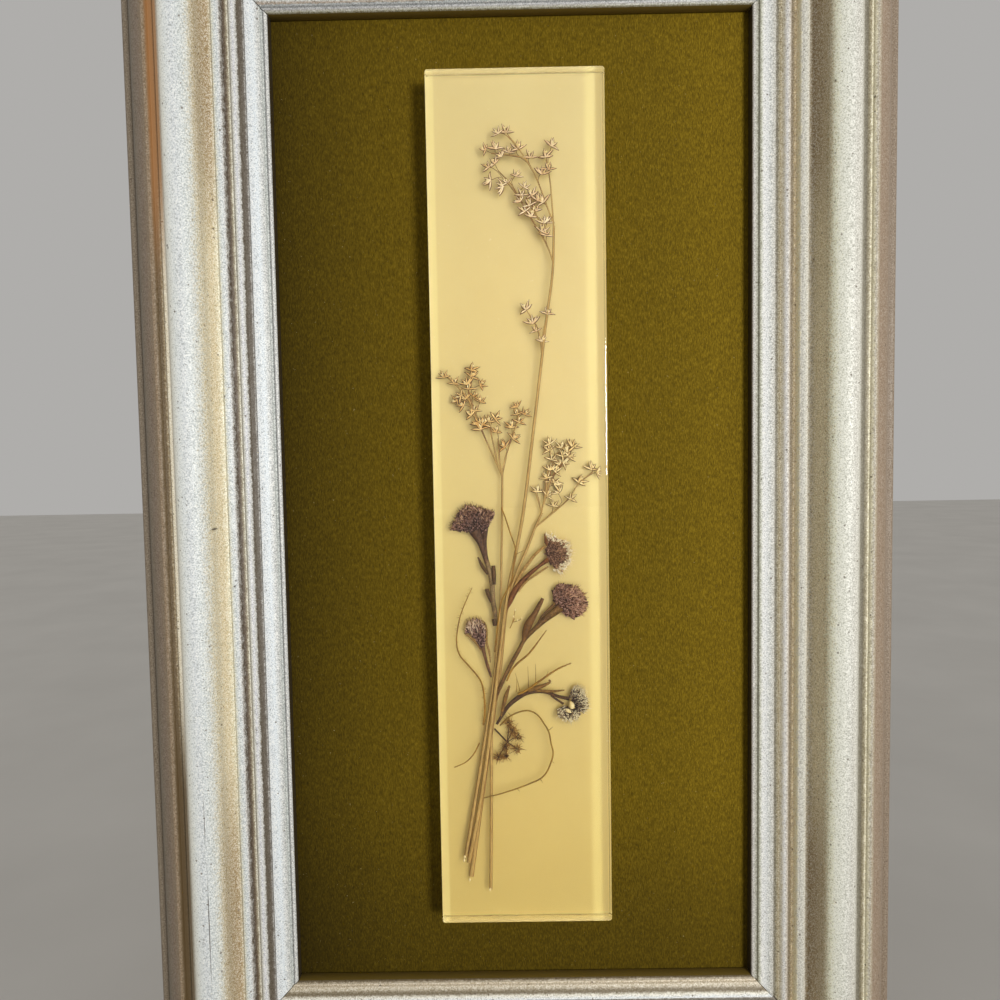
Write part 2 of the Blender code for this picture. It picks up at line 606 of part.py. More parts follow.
def make_tendrils(picture):
    """The thin golden-brown tendrils, feathery twigs and small fruiting heads. Routes are (x, z) in mm."""
    golden = new_material("golden_tendril", (0.3, 0.16, 0.03), 0.6)
    brown = new_material("brown_umbel", (0.24, 0.11, 0.04), 0.75)
    thin = [0.6, 0.5, 0.5]
    thickness = 0.5

    route = [(-4.5, 2.5), (-2.5, -5), (-1, -13.5), (-3, -22.5), (-6, -31), (-7.5, -42.5)]
    grow_strand("golden_tendril", route, DEEP_LAYER, thin, thickness, golden, picture)
    route = [(-14, -22.5), (-16.5, -27.5), (-18.4, -35), (-18, -43), (-13.8, -49), (-11.3, -56), (-11.6, -66)]
    grow_strand("left_tendril", route, TOP_LAYER, [0.4, 0.7, 0.8], thickness, golden, picture)
    route = [(-12.6, -70.5), (-14.5, -74), (-17, -76.5), (-20.5, -78)]
    grow_strand("short_tendril", route, TOP_LAYER, [0.5, 0.4], thickness, golden, picture)
    route = [(-6.5, -65), (-4, -62.8), (-1, -61), (2.5, -60.5), (5.5, -62.5), (8, -67.5), (9.8, -73.5)]
    route += [(8.5, -79), (3, -83.3), (-3.5, -85.8), (-11, -87.5)]
    grow_strand("loop_tendril", route, TOP_LAYER, [0.7, 0.6, 0.5], thickness, golden, picture)
    route = [(8, -36), (5.5, -39), (2.5, -42.5), (-1, -46), (-4, -51.5)]
    grow_strand("smooth_twig", route, TOP_LAYER, [0.5, 0.7, 0.6], thickness, golden, picture)

    stem, hairs = bmesh.new(), bmesh.new()
    route = [(15.5, -46), (9, -50), (5, -52.3), (2.5, -53.8), (-0.7, -55.3)]
    add_strand(stem, curved(route), TOP_LAYER, [0.5, 0.8, 0.9], thickness)
    for foot, tip in (((5.2, -52), (4.5, -46)), ((2.2, -53.8), (2.3, -47)), ((-0.4, -55), (-1.2, -49))):
        add_strand(hairs, [foot, tip], TOP_LAYER, [0.4, 0.2], 0.3, sides=4)
    grow("feathery_twig", stem, hairs, golden, picture)

    stem, florets = bmesh.new(), bmesh.new()
    stalk = [(-8, -66.6), (-6, -68.8), (-4, -71)]
    add_strand(stem, stalk, DEEP_LAYER, [0.5, 0.5], 0.4)
    fork = (-4.2, -70.8)
    branches = [[fork, (-3, -68), (-2.8, -65.5)], [fork, (-5.5, -74)], [fork, (-1.8, -72)]]
    florets_at = [(-2.8, -67), (-1.1, -69), (-4.6, -72), (-1.2, -73), (-4.3, -75.3), (-7, -75.3)]
    florets_at.append((-3.2, -64.8))
    add_panicle(florets, branches, florets_at, DEEP_LAYER)
    grow("brown_umbel", stem, florets, brown, picture)

    stem, florets = bmesh.new(), bmesh.new()
    add_strand(stem, [(-2.8, -35.5), (-2, -33.8), (-1.3, -32.4)], MIDDLE_LAYER, [0.5, 0.4], 0.4)
    branches = [[(-2.1, -34), (-1.6, -32), (-1.2, -30.6)], [(-1.9, -33.6), (0, -33.1)]]
    add_panicle(florets, branches, [(-1.1, -29.8), (0.8, -32.4)], MIDDLE_LAYER)
    grow("golden_sprig", stem, florets, golden, picture)


def main():
    for obj in list(bpy.data.objects):
        bpy.data.objects.remove(obj, do_unlink=True)
    picture = bpy.data.objects.new("picture_centre", None)
    bpy.context.scene.collection.objects.link(picture)
    picture.location = (0, 0, PICTURE_CENTRE_Z)

    silver = new_material("worn_silver_leaf", (0.66, 0.63, 0.58), 0.45, metallic=0.6)
    sides = {"left": (-1, 0), "right": (1, 0), "top": (0, 1), "bottom": (0, -1)}
    rails = {name: make_rail(f"frame_rail_{name}", side, silver, picture) for name, side in sides.items()}
    steel = make_framing_points(rails, picture)
    make_hanger(rails["top"], steel, picture)
    make_boards(picture)
    make_plaque(picture)
    make_rushes(picture)
    make_cats_foot_flowers(picture)
    make_tendrils(picture)


main()
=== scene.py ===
"""Dried wild flowers sealed in a clear resin plaque on a velvet board, in a moulded silver-leafed frame."""

import json
import math
import random

import bpy
from mathutils import Matrix, Vector

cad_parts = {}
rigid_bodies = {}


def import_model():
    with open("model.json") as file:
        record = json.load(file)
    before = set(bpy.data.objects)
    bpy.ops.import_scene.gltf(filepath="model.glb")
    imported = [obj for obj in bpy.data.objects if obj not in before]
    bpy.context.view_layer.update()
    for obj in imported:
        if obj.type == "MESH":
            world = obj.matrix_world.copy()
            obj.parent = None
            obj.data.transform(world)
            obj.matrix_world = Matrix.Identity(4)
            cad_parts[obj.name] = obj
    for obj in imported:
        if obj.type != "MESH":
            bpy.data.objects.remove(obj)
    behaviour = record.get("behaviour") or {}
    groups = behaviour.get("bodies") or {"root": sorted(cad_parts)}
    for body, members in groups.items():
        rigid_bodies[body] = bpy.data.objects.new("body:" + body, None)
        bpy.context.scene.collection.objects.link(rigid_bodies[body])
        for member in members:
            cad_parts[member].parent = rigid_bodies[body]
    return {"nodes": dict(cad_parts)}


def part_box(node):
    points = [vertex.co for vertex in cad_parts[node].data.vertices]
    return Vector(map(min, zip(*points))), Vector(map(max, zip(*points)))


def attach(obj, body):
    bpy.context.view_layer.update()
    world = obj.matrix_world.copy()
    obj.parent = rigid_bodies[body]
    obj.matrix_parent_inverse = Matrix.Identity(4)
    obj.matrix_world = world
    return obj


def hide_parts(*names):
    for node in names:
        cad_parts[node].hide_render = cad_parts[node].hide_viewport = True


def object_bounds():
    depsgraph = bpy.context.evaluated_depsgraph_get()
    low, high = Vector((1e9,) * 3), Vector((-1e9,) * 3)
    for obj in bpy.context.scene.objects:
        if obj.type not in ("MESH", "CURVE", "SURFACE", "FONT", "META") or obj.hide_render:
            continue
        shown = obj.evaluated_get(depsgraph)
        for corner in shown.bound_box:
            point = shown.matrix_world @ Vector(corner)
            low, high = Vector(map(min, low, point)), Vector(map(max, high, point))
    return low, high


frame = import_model()
nodes = frame["nodes"]
cad_low, cad_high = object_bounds()
MM = 0.001

# The camera looks at the hanging picture from straight in front, a forearm's length away, with the plaque in
# the middle of its view. A soft light stands in front, to the right and a little above, and the walls fill
# the shadows.
camera_data = bpy.data.cameras.new("camera")
camera_data.sensor_fit = "HORIZONTAL"
camera_data.sensor_width = 36.0
camera_data.lens = 27.036
camera = bpy.data.objects.new("camera", camera_data)
bpy.context.scene.collection.objects.link(camera)
camera_turn = Matrix.Rotation(math.radians(0.338), 4, "Z") @ Matrix.Rotation(math.radians(-3.127), 4, "X")
camera_turn = camera_turn @ Matrix.Rotation(
    math.radians(0.967), 4, "Y"
) @ Matrix.Rotation(math.radians(90), 4, "X")
camera.matrix_world = Matrix.Translation((-0.00381, -0.24238, -0.16564)) @ camera_turn
bpy.context.scene.camera = camera
bpy.context.scene.view_settings.view_transform = "Standard"

opening_low, opening_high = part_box("velvet_board")
picture_centre = (opening_low + opening_high) / 2


def add_area_light(name, direction, distance, size, power, colour):
    """A square soft light that shines at the picture's centre from a direction."""
    data = bpy.data.lights.new(name, "AREA")
    data.shape = "SQUARE"
    data.size = size
    data.energy = power
    data.color = colour
    light = bpy.data.objects.new(name, data)
    bpy.context.scene.collection.objects.link(light)
    towards = Vector(direction).normalized()
    light.matrix_world = Matrix.Translation(
        picture_centre + towards * distance
    ) @ towards.to_track_quat("Z", "Y").to_matrix().to_4x4()
    light.visible_transmission = False
    return light


key_light = add_area_light("key_light", (0.456, -0.885, 0.093), 0.9, 0.2, 7.7, (1.0, 0.985, 0.95))
world = bpy.data.worlds.new("pale_room")
world.use_nodes = True
world.node_tree.nodes["Background"].inputs["Color"].default_value = (1.0, 0.98, 0.95, 1.0)
world.node_tree.nodes["Background"].inputs["Strength"].default_value = 0.43
bpy.context.scene.world = world

# The floor that the finished picture stands on in the views from its side and back.
bpy.ops.object.select_all(action="DESELECT")
bpy.ops.mesh.primitive_plane_add(size=6.0, location=(0, 0, cad_low.z - 0.0005))
floor = bpy.context.object
floor.name = "floor"


def srgb(red, green, blue):
    """A colour as seen on a screen, 0 to 255, made the light value that a shader takes."""
    return tuple(
        (c / 255 / 12.92) if c <= 10 else ((c / 255 + 0.055) / 1.055) ** 2.4 for c in (red, green, blue)
    ) + (1.0,)


def add_node(tree, kind, inputs=None, **settings):
    """A shader node with its settings. Each input takes a value, or a link from an output socket."""
    node = tree.nodes.new(kind)
    for key, value in settings.items():
        setattr(node, key, value)
    for key, value in (inputs or {}).items():
        if isinstance(value, bpy.types.NodeSocket):
            tree.links.new(value, node.inputs[key])
        else:
            node.inputs[key].default_value = value
    return node


def add_ramp(tree, factor, stops, interpolation="LINEAR"):
    """A colour ramp of (position, colour) stops along a factor."""
    node = add_node(tree, "ShaderNodeValToRGB", {"Fac": factor})
    ramp = node.color_ramp
    ramp.interpolation = interpolation
    for position, colour in stops[1:-1]:
        ramp.elements.new(position)
    for element, (position, colour) in zip(ramp.elements, stops):
        element.position = position
        element.color = colour
    return node.outputs["Color"]


def add_maths(tree, operation, first, second=0.0, third=0.0, clamp=False):
    return add_node(
        tree, "ShaderNodeMath", {0: first, 1: second, 2: third}, operation=operation, use_clamp=clamp
    ).outputs[0]


def mix_colours(tree, factor, first, second, blend="MIX"):
    inputs = {"Factor": factor, 6: first, 7: second}
    return add_node(tree, "ShaderNodeMix", inputs, data_type="RGBA", blend_type=blend).outputs[2]


def add_noise(tree, place, scale, detail=2.0, roughness=0.5):
    inputs = {"Vector": place, "Scale": scale, "Detail": detail, "Roughness": roughness}
    return add_node(tree, "ShaderNodeTexNoise", inputs).outputs["Fac"]


def object_place(tree, location=(0, 0, 0), scale=(1, 1, 1), rotation=(0, 0, 0)):
    """The place on a piece in metres, moved and scaled so that a pattern fits it."""
    place = add_node(tree, "ShaderNodeTexCoord").outputs["Object"]
    inputs = {"Vector": place, "Location": location, "Scale": scale, "Rotation": rotation}
    return add_node(tree, "ShaderNodeMapping", inputs).outputs["Vector"]


def new_material(name, **constants):
    """A material whose Principled shader has the given constant values."""
    material = bpy.data.materials.new(name)
    material.use_nodes = True
    tree = material.node_tree
    shader = tree.nodes["Principled BSDF"]
    for key, value in constants.items():
        shader.inputs[key.replace("_", " ")].default_value = value
    return material, tree, shader


def add_bump(tree, shader, height, distance, strength=1.0):
    bump = add_node(tree, "ShaderNodeBump", {"Height": height, "Distance": distance, "Strength": strength})
    tree.links.new(bump.outputs["Normal"], shader.inputs["Normal"])


material, tree, shader = new_material("pale_floor", Roughness=0.85)
floor_place = object_place(tree)
floor_tone = add_noise(tree, floor_place, 9.0, 4.0)
tree.links.new(
    add_ramp(tree, floor_tone, [(0.3, srgb(214, 211, 205)), (0.7, srgb(222, 219, 213))]),
    shader.inputs["Base Color"],
)
floor.data.materials.append(material)

# Frame: four mitred lengths of one carved moulding. The wood carries a bronze-brown ground under silver leaf
# that is worn thin in the grooves, golden in the cove, and finely speckled on the broad crown.
opening_half_width = -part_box("frame_rail_left")[1].x / MM
opening_half_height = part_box("frame_rail_top")[0].z / MM - picture_centre.z / MM


def refined_copy(node_name, piece_name):
    """A merged copy of a CAD node's mesh, to be finished as the piece that stands for it."""
    bpy.ops.object.select_all(action="DESELECT")
    piece = bpy.data.objects.new(piece_name, nodes[node_name].data.copy())
    bpy.context.scene.collection.objects.link(piece)
    piece.data.materials.clear()
    piece.select_set(True)
    bpy.context.view_layer.objects.active = piece
    bpy.ops.object.mode_set(mode="EDIT")
    bpy.ops.mesh.select_all(action="SELECT")
    bpy.ops.mesh.remove_doubles(threshold=0.01 * MM)
    bpy.ops.mesh.dissolve_limited(angle_limit=math.radians(0.5))
    bpy.ops.object.mode_set(mode="OBJECT")
    return piece


def speckle_group():
    """Small irregular flecks. Amount is the share of the surface that they cover."""
    tree = bpy.data.node_groups.new("speckle", "ShaderNodeTree")
    for name, kind in (
        ("Place", "NodeSocketVector"), ("Flecks per metre", "NodeSocketFloat"),
        ("Amount", "NodeSocketFloat"),
    ):
        tree.interface.new_socket(name, in_out="INPUT", socket_type=kind)
    tree.interface.new_socket("Mask", in_out="OUTPUT", socket_type="NodeSocketFloat")
    given = tree.nodes.new("NodeGroupInput").outputs
    result = tree.nodes.new("NodeGroupOutput")
    flecks = add_noise(tree, given["Place"], given["Flecks per metre"], 3.0, 0.6)
    limit = add_maths(tree, "MULTIPLY_ADD", given["Amount"], 0.5, 0.25)
    above = add_maths(tree, "SUBTRACT", limit, flecks)
    tree.links.new(add_maths(tree, "MULTIPLY_ADD", above, 14.0, 0.5, clamp=True), result.inputs["Mask"])
    return tree


speckle = speckle_group()


def add_speckle(tree, place, per_metre, amount):
    node = tree.nodes.new("ShaderNodeGroup")
    node.node_tree = speckle
    tree.links.new(place, node.inputs["Place"])
    node.inputs["Flecks per metre"].default_value = per_metre
    if isinstance(amount, bpy.types.NodeSocket):
        tree.links.new(amount, node.inputs["Amount"])
    else:
        node.inputs["Amount"].default_value = amount
    return node.outputs["Mask"]


def moulding_group():
    """The leafed finish over the moulding's bands. Across is the distance out from the sight edge and Along
    the distance from the rail's middle, in millimetres."""
    tree = bpy.data.node_groups.new("moulding_finish", "ShaderNodeTree")
    tree.interface.new_socket("Place", in_out="INPUT", socket_type="NodeSocketVector")
    tree.interface.new_socket("Bands", in_out="INPUT", socket_type="NodeSocketColor")
    tree.interface.new_socket("Across", in_out="INPUT", socket_type="NodeSocketFloat")
    tree.interface.new_socket("Along", in_out="INPUT", socket_type="NodeSocketFloat")
    tree.interface.new_socket("Color", in_out="OUTPUT", socket_type="NodeSocketColor")
    for name in ("Roughness", "Metallic", "Height"):
        tree.interface.new_socket(name, in_out="OUTPUT", socket_type="NodeSocketFloat")
    given = tree.nodes.new("NodeGroupInput").outputs
    result = tree.nodes.new("NodeGroupOutput")
    place = given["Place"]

    # The cove's gold is brightest at the rail's middle, a painted reflection, and is painted taupe towards
    # the corners. It breaks up into flecks where the silver crown begins.
    in_cove = add_node(tree, "ShaderNodeMapRange", {"Value": given["Across"], 1: 15.7, 2: 16.9}).outputs[0]
    crown_edge = {"Value": given["Across"], 1: 18.3, 2: 19.8, 3: 1.0, 4: 0.0}
    before_crown = add_node(tree, "ShaderNodeMapRange", crown_edge).outputs[0]
    clouded = add_maths(tree, "MULTIPLY_ADD", add_noise(tree, place, 25.0, 3.0), 60.0, given["Along"])
    cove_fade_range = {"Value": clouded, 1: 90.0, 2: 150.0}
    cove_reflection_fade = add_node(tree, "ShaderNodeMapRange", cove_fade_range, interpolation_type="SMOOTHSTEP").outputs[0]
    cove_reflection_fade = add_maths(tree, "MULTIPLY", add_maths(tree, "MULTIPLY", in_cove, before_crown), cove_reflection_fade)
    colour = mix_colours(tree, add_maths(tree, "MULTIPLY", cove_reflection_fade, 0.9), given["Bands"], srgb(152, 128, 88))
    change = add_node(
        tree, "ShaderNodeMapRange", {"Value": given["Across"], 1: 19.0, 2: 22.5, 3: 0.5, 4: 0.0}
    ).outputs[0]
    from_cove = add_node(
        tree, "ShaderNodeMapRange", {"Value": given["Across"], 1: 17.0, 2: 18.6}
    ).outputs[0]
    coarse = add_speckle(tree, place, 1900.0, add_maths(tree, "MULTIPLY", change, from_cove))
    colour = mix_colours(tree, add_maths(tree, "MULTIPLY", coarse, 0.5), colour, srgb(176, 156, 110))

    # The whole leaf has a fine grain, dark and light, with scattered pinholes of the brown ground.
    grain = add_noise(tree, place, 2600.0, 2.0, 0.75)
    dark_grain = add_node(
        tree, "ShaderNodeMapRange", {"Value": grain, 1: 0.48, 2: 0.34, 3: 0.0, 4: 0.62}
    ).outputs[0]
    colour = mix_colours(tree, dark_grain, colour, srgb(148, 143, 129), "MULTIPLY")
    light_grain = add_node(
        tree, "ShaderNodeMapRange", {"Value": grain, 1: 0.48, 2: 0.66, 3: 0.0, 4: 0.6}
    ).outputs[0]
    ground = add_node(tree, "ShaderNodeRGBToBW", {"Color": given["Bands"]}).outputs[0]
    leaf_left = add_node(
        tree, "ShaderNodeMapRange", {"Value": ground, 1: 0.1, 2: 0.5, 3: 0.12, 4: 1.0}
    ).outputs[0]
    colour = mix_colours(
        tree, add_maths(tree, "MULTIPLY", light_grain, leaf_left), colour, srgb(251, 250, 243)
    )
    cells = add_node(tree, "ShaderNodeTexVoronoi", {"Vector": place, "Scale": 700.0, "Randomness": 1.0})
    chosen = add_node(tree, "ShaderNodeSeparateColor", {"Color": cells.outputs["Color"]}).outputs[0]
    hole_size = add_maths(tree, "MULTIPLY", add_maths(tree, "POWER", chosen, 6.0), 0.26)
    inside_hole = add_maths(tree, "SUBTRACT", hole_size, cells.outputs["Distance"])
    pinholes = add_maths(tree, "MULTIPLY", inside_hole, 22.0, clamp=True)
    colour = mix_colours(tree, add_maths(tree, "MULTIPLY", pinholes, 0.75), colour, srgb(84, 70, 54))
    broad = add_noise(tree, place, 30.0, 2.0)
    colour = mix_colours(
        tree, add_maths(tree, "MULTIPLY", broad, 0.1), colour, srgb(200, 190, 168), "MULTIPLY"
    )
    tree.links.new(colour, result.inputs["Color"])

    rub = add_noise(tree, place, 400.0, 3.0)
    roughness = add_node(
        tree, "ShaderNodeMapRange", {"Value": rub, 1: 0.3, 2: 0.7, 3: 0.5, 4: 0.68}
    ).outputs[0]
    tree.links.new(roughness, result.inputs["Roughness"])
    brightness = add_node(tree, "ShaderNodeRGBToBW", {"Color": colour}).outputs[0]
    leaf = add_node(
        tree, "ShaderNodeMapRange", {"Value": brightness, 1: 0.3, 2: 0.8, 3: 0.0, 4: 0.12}
    ).outputs[0]
    tree.links.new(leaf, result.inputs["Metallic"])
    height = add_maths(tree, "MULTIPLY_ADD", pinholes, -0.8, add_maths(tree, "MULTIPLY", rub, 0.8))
    tree.links.new(height, result.inputs["Height"])
    return tree


moulding_finish = moulding_group()
STOPS_A_RAMP = 24
REBATE_DEPTH = 9.6
REBATE_REACH = 20.0


def add_bands(tree, across, bands):
    """The colours across the moulding, as (millimetres out from the sight edge, red, green, blue). A ramp
    holds only 32 stops, so the bands are shared out between several."""
    colour = None
    for first in range(0, len(bands) - 1, STOPS_A_RAMP):
        part = bands[first:first + STOPS_A_RAMP + 1]
        low = part[0][0]
        high = part[-1][0]
        share = add_maths(tree, "DIVIDE", add_maths(tree, "SUBTRACT", across, low), high - low)
        ramp = add_ramp(tree, share, [((at - low) / (high - low), srgb(*tone)) for at, *tone in part])
        if colour is None:
            colour = ramp
        else:
            colour = mix_colours(tree, add_maths(tree, "GREATER_THAN", across, low), colour, ramp)
    return colour


def moulding_material(name, axis, half_opening, centre, bands, wall_tone, marks=(), shoulder_reflection_fade=()):
    """The moulding's finish for one rail. axis is the one that the rail lies across, X or Z. A mark is a
    crack or knot at (x, z) from the picture's centre with its half width and half height, in mm. wall_tone is
    the tone given to the wall round the opening. The last argument lists pairs of heights from the centre,
    each with a tone: between them the shoulder's painted reflection fades out and the outer groove's brown is
    painted up onto the shoulder, as painted shade away from the reflection."""
    material, tree, shader = new_material(name)
    place = object_place(tree)
    split = add_node(tree, "ShaderNodeSeparateXYZ", {"Vector": place})
    offset = add_maths(tree, "ABSOLUTE", add_maths(tree, "SUBTRACT", split.outputs[axis], centre))
    across = add_maths(tree, "MULTIPLY_ADD", offset, 1 / MM, -half_opening)
    if axis == "X":
        from_middle = add_maths(tree, "SUBTRACT", split.outputs["Z"], picture_centre.z)
    else:
        from_middle = split.outputs["X"]
    along = add_maths(tree, "MULTIPLY", add_maths(tree, "ABSOLUTE", from_middle), 1 / MM)
    wander = add_maths(tree, "MULTIPLY_ADD", add_noise(tree, place, 700.0, 2.0), 0.7, -0.35)
    into_cove = add_node(
        tree, "ShaderNodeMapRange", {"Value": across, 1: 14.6, 2: 16.4, 3: 0.9, 4: 4.5}
    ).outputs[0]
    onto_crown = add_node(
        tree, "ShaderNodeMapRange", {"Value": across, 1: 19.5, 2: 22.5, 3: 0.0, 4: 3.6}
    ).outputs[0]
    reach = add_maths(tree, "SUBTRACT", into_cove, onto_crown)
    chips = add_maths(tree, "SUBTRACT", add_noise(tree, place, 2200.0, 2.0, 0.7), 0.5)
    ragged = add_maths(tree, "MULTIPLY_ADD", chips, reach, wander)
    node = tree.nodes.new("ShaderNodeGroup")
    node.node_tree = moulding_finish
    tree.links.new(place, node.inputs["Place"])
    tree.links.new(add_bands(tree, add_maths(tree, "ADD", across, ragged), bands), node.inputs["Bands"])
    tree.links.new(across, node.inputs["Across"])
    tree.links.new(along, node.inputs["Along"])
    colour = node.outputs["Color"]
    wobble = add_noise(tree, place, 600.0, 2.0)
    for x, z, half_width, half_height in marks:
        scale = (1 / (half_width * MM), 0.0, 1 / (half_height * MM))
        location = (-x / half_width, 0.0, -(picture_centre.z / MM + z) / half_height)
        distance = add_node(
            tree, "ShaderNodeVectorMath", {0: object_place(tree, location, scale)}, operation="LENGTH"
        )
        ragged_distance = add_maths(tree, "MULTIPLY_ADD", wobble, 1.2, distance.outputs["Value"])
        mark = add_node(
            tree, "ShaderNodeMapRange", {"Value": ragged_distance, 1: 1.2, 2: 1.9, 3: 0.9, 4: 0.0}
        ).outputs[0]
        colour = mix_colours(tree, mark, colour, srgb(58, 44, 34))
    # Painted shade: away from the shoulder's painted reflection, the groove's brown is painted up onto the
    # shoulder.
    for first, last, tone in shoulder_reflection_fade:
        centre_height = picture_centre.z
        heights = {"Value": split.outputs["Z"], 1: centre_height + first * MM, 2: centre_height + last * MM}
        onward = add_node(tree, "ShaderNodeMapRange", heights, interpolation_type="SMOOTHSTEP").outputs[0]
        edge = add_node(tree, "ShaderNodeMapRange", {"Value": across, 1: 28.9, 2: 29.5}).outputs[0]
        side = add_node(tree, "ShaderNodeMapRange", {"Value": across, 1: 33.4, 2: 32.6}).outputs[0]
        off_the_reflection = add_maths(tree, "MULTIPLY", add_maths(tree, "MULTIPLY", edge, side), onward)
        colour = mix_colours(tree, add_maths(tree, "MULTIPLY", off_the_reflection, 0.92), colour, srgb(*tone))
    colour = mix_colours(tree, add_maths(tree, "LESS_THAN", across, 0.04), colour, srgb(*wall_tone))

    # The back and the rebate were never leafed, so the wood's own grain shows there, along the rail.
    depth = split.outputs["Y"]
    in_rebate = add_maths(tree, "GREATER_THAN", depth, -REBATE_DEPTH * MM)
    in_rebate = add_maths(tree, "MULTIPLY", in_rebate, add_maths(tree, "LESS_THAN", across, REBATE_REACH))
    unleafed = add_maths(tree, "MAXIMUM", in_rebate, add_maths(tree, "GREATER_THAN", depth, -0.3 * MM))
    along_rail = (1.0, 1.0, 0.04) if axis == "X" else (0.04, 1.0, 1.0)
    fibres = add_noise(tree, object_place(tree, scale=along_rail), 900.0, 4.0, 0.65)
    rings = add_noise(tree, object_place(tree, scale=along_rail), 160.0, 2.0)
    wood_grain = add_maths(tree, "MULTIPLY_ADD", fibres, 0.5, add_maths(tree, "MULTIPLY", rings, 0.5))
    wood = add_ramp(
        tree, wood_grain,
        [(0.35, srgb(150, 116, 78)), (0.5, srgb(182, 148, 106)), (0.65, srgb(200, 168, 124))],
    )
    colour = mix_colours(tree, unleafed, colour, wood)
    tree.links.new(colour, shader.inputs["Base Color"])
    tree.links.new(node.outputs["Roughness"], shader.inputs["Roughness"])
    leafed = add_maths(tree, "SUBTRACT", 1.0, unleafed)
    tree.links.new(add_maths(tree, "MULTIPLY", node.outputs["Metallic"], leafed), shader.inputs["Metallic"])
    add_bump(tree, shader, node.outputs["Height"], 0.00012, 0.6)
    return material


# From the lip, the bands are: lip, fine dark line, flat, brown groove, bead, brown groove, ridge, gold cove,
# silver crown, cream shoulder, brown groove, bronze bead and the brown outer side. Each rail has its own
# tones: partly its own wear, and partly painted light and shade, with slopes that turn from the light painted
# brighter, slopes that face it painted darker, and painted highlights on some groove walls, beads and the
# shoulder.
left_bands = [
    (
        0.0, 188, 190, 190
    ), (0.9, 186, 188, 190), (1.1, 150, 153, 156), (1.6, 157, 162, 162), (1.9, 180, 186, 184),
    (
        2.6, 172, 175, 175
    ), (3.2, 196, 200, 202), (4.3, 212, 221, 229), (6.3, 207, 213, 219), (6.8, 196, 197, 197),
    (7.2, 158, 155, 152), (7.5, 104, 97, 88), (7.9, 90, 81, 69), (8.7, 82, 72, 58), (8.95, 100, 92, 80),
    (9.3, 204, 205, 204), (9.8, 189, 191, 199), (
        10.4, 197, 199, 198
    ), (11.7, 228, 224, 206), (12.1, 148, 138, 114),
    (12.7, 86, 70, 50), (13.2, 78, 64, 49), (
        13.5, 168, 166, 163
    ), (13.7, 192, 194, 196), (14.3, 189, 196, 200),
    (
        15.1, 181, 186, 183
    ), (16.0, 214, 211, 187), (16.9, 204, 194, 162), (17.5, 208, 193, 157), (18.1, 213, 194, 152),
    (
        18.5, 232, 222, 190
    ), (19.0, 206, 205, 189), (20.0, 199, 203, 200), (21.4, 192, 199, 201), (23.7, 198, 204, 209),
    (
        25.5, 215, 221, 222
    ), (26.8, 228, 231, 225), (28.3, 250, 248, 234), (29.4, 252, 244, 222), (29.9, 224, 213, 186),
    (31.1, 185, 166, 130), (31.7, 116, 98, 69), (32.4, 92, 74, 46), (32.8, 98, 80, 52), (33.2, 118, 99, 72),
    (
        33.8, 135, 114, 89
    ), (34.7, 146, 124, 96), (36.6, 130, 111, 92), (41.0, 128, 115, 94), (45.5, 120, 105, 87),
]
right_bands = [
    (
        0.0, 176, 172, 168
    ), (0.4, 193, 190, 187), (0.8, 168, 167, 160), (1.6, 158, 157, 146), (2.0, 148, 147, 128),
    (
        2.4, 152, 153, 134
    ), (2.8, 198, 200, 189), (3.3, 225, 227, 227), (4.2, 207, 210, 212), (5.2, 183, 186, 185),
    (
        6.2, 178, 177, 171
    ), (6.7, 164, 162, 154), (7.0, 130, 126, 114), (7.5, 108, 101, 82), (7.9, 145, 136, 110),
    (8.3, 142, 130, 100), (8.7, 194, 182, 152), (9.1, 226, 218, 196), (
        9.35, 244, 241, 234
    ), (9.7, 216, 215, 215),
    (
        10.1, 188, 185, 180
    ), (10.6, 178, 170, 158), (11.3, 140, 127, 108), (11.8, 121, 108, 85), (12.2, 134, 119, 89),
    (12.5, 170, 152, 115), (
        12.85, 250, 228, 182
    ), (13.3, 255, 248, 212), (13.6, 238, 235, 220), (13.85, 192, 190, 181),
    (
        14.8, 201, 200, 190
    ), (16.0, 192, 187, 170), (16.7, 197, 183, 157), (17.6, 213, 199, 160), (18.1, 217, 201, 160),
    (
        18.5, 238, 222, 186
    ), (18.8, 249, 241, 207), (19.5, 229, 231, 206), (20.3, 237, 239, 218), (21.1, 227, 229, 216),
    (
        22.1, 211, 213, 202
    ), (24.2, 195, 196, 188), (25.6, 181, 180, 172), (27.0, 187, 185, 175), (27.6, 172, 170, 158),
    (
        28.3, 152, 147, 134
    ), (29.2, 116, 111, 95), (30.1, 98, 91, 73), (31.2, 111, 102, 76), (31.8, 138, 129, 100),
    (
        32.2, 182, 173, 143
    ), (32.6, 252, 247, 220), (32.9, 240, 232, 202), (33.2, 184, 176, 152), (33.5, 158, 151, 136),
    (34.2, 160, 146, 122), (35.2, 136, 115, 93), (45.5, 122, 106, 88),
]
top_bands = [
    (0.0, 118, 108, 84), (
        0.2, 134, 131, 108
    ), (0.5, 150, 149, 137), (1.1, 155, 153, 151), (1.8, 161, 162, 166),
    (2.2, 156, 160, 162), (2.5, 140, 146, 149), (2.9, 150, 132, 114), (3.3, 170, 166, 160),
]
top_bands += [band for band in left_bands if band[0] > 4]
bottom_bands = [
    (0.0, 96, 82, 56), (0.3, 104, 90, 64), (0.5, 136, 123, 99), (0.95, 171, 158, 135), (1.5, 184, 171, 147),
    (2.1, 195, 181, 156), (2.6, 181, 170, 147), (
        3.05, 173, 162, 140
    ), (3.35, 148, 136, 113), (3.7, 124, 112, 88),
    (4.2, 109, 97, 74), (4.5, 114, 103, 82), (
        4.8, 151, 142, 124
    ), (5.1, 195, 190, 175), (5.4, 217, 214, 203),
]
bottom_bands += [band for band in left_bands if band[0] > 6]
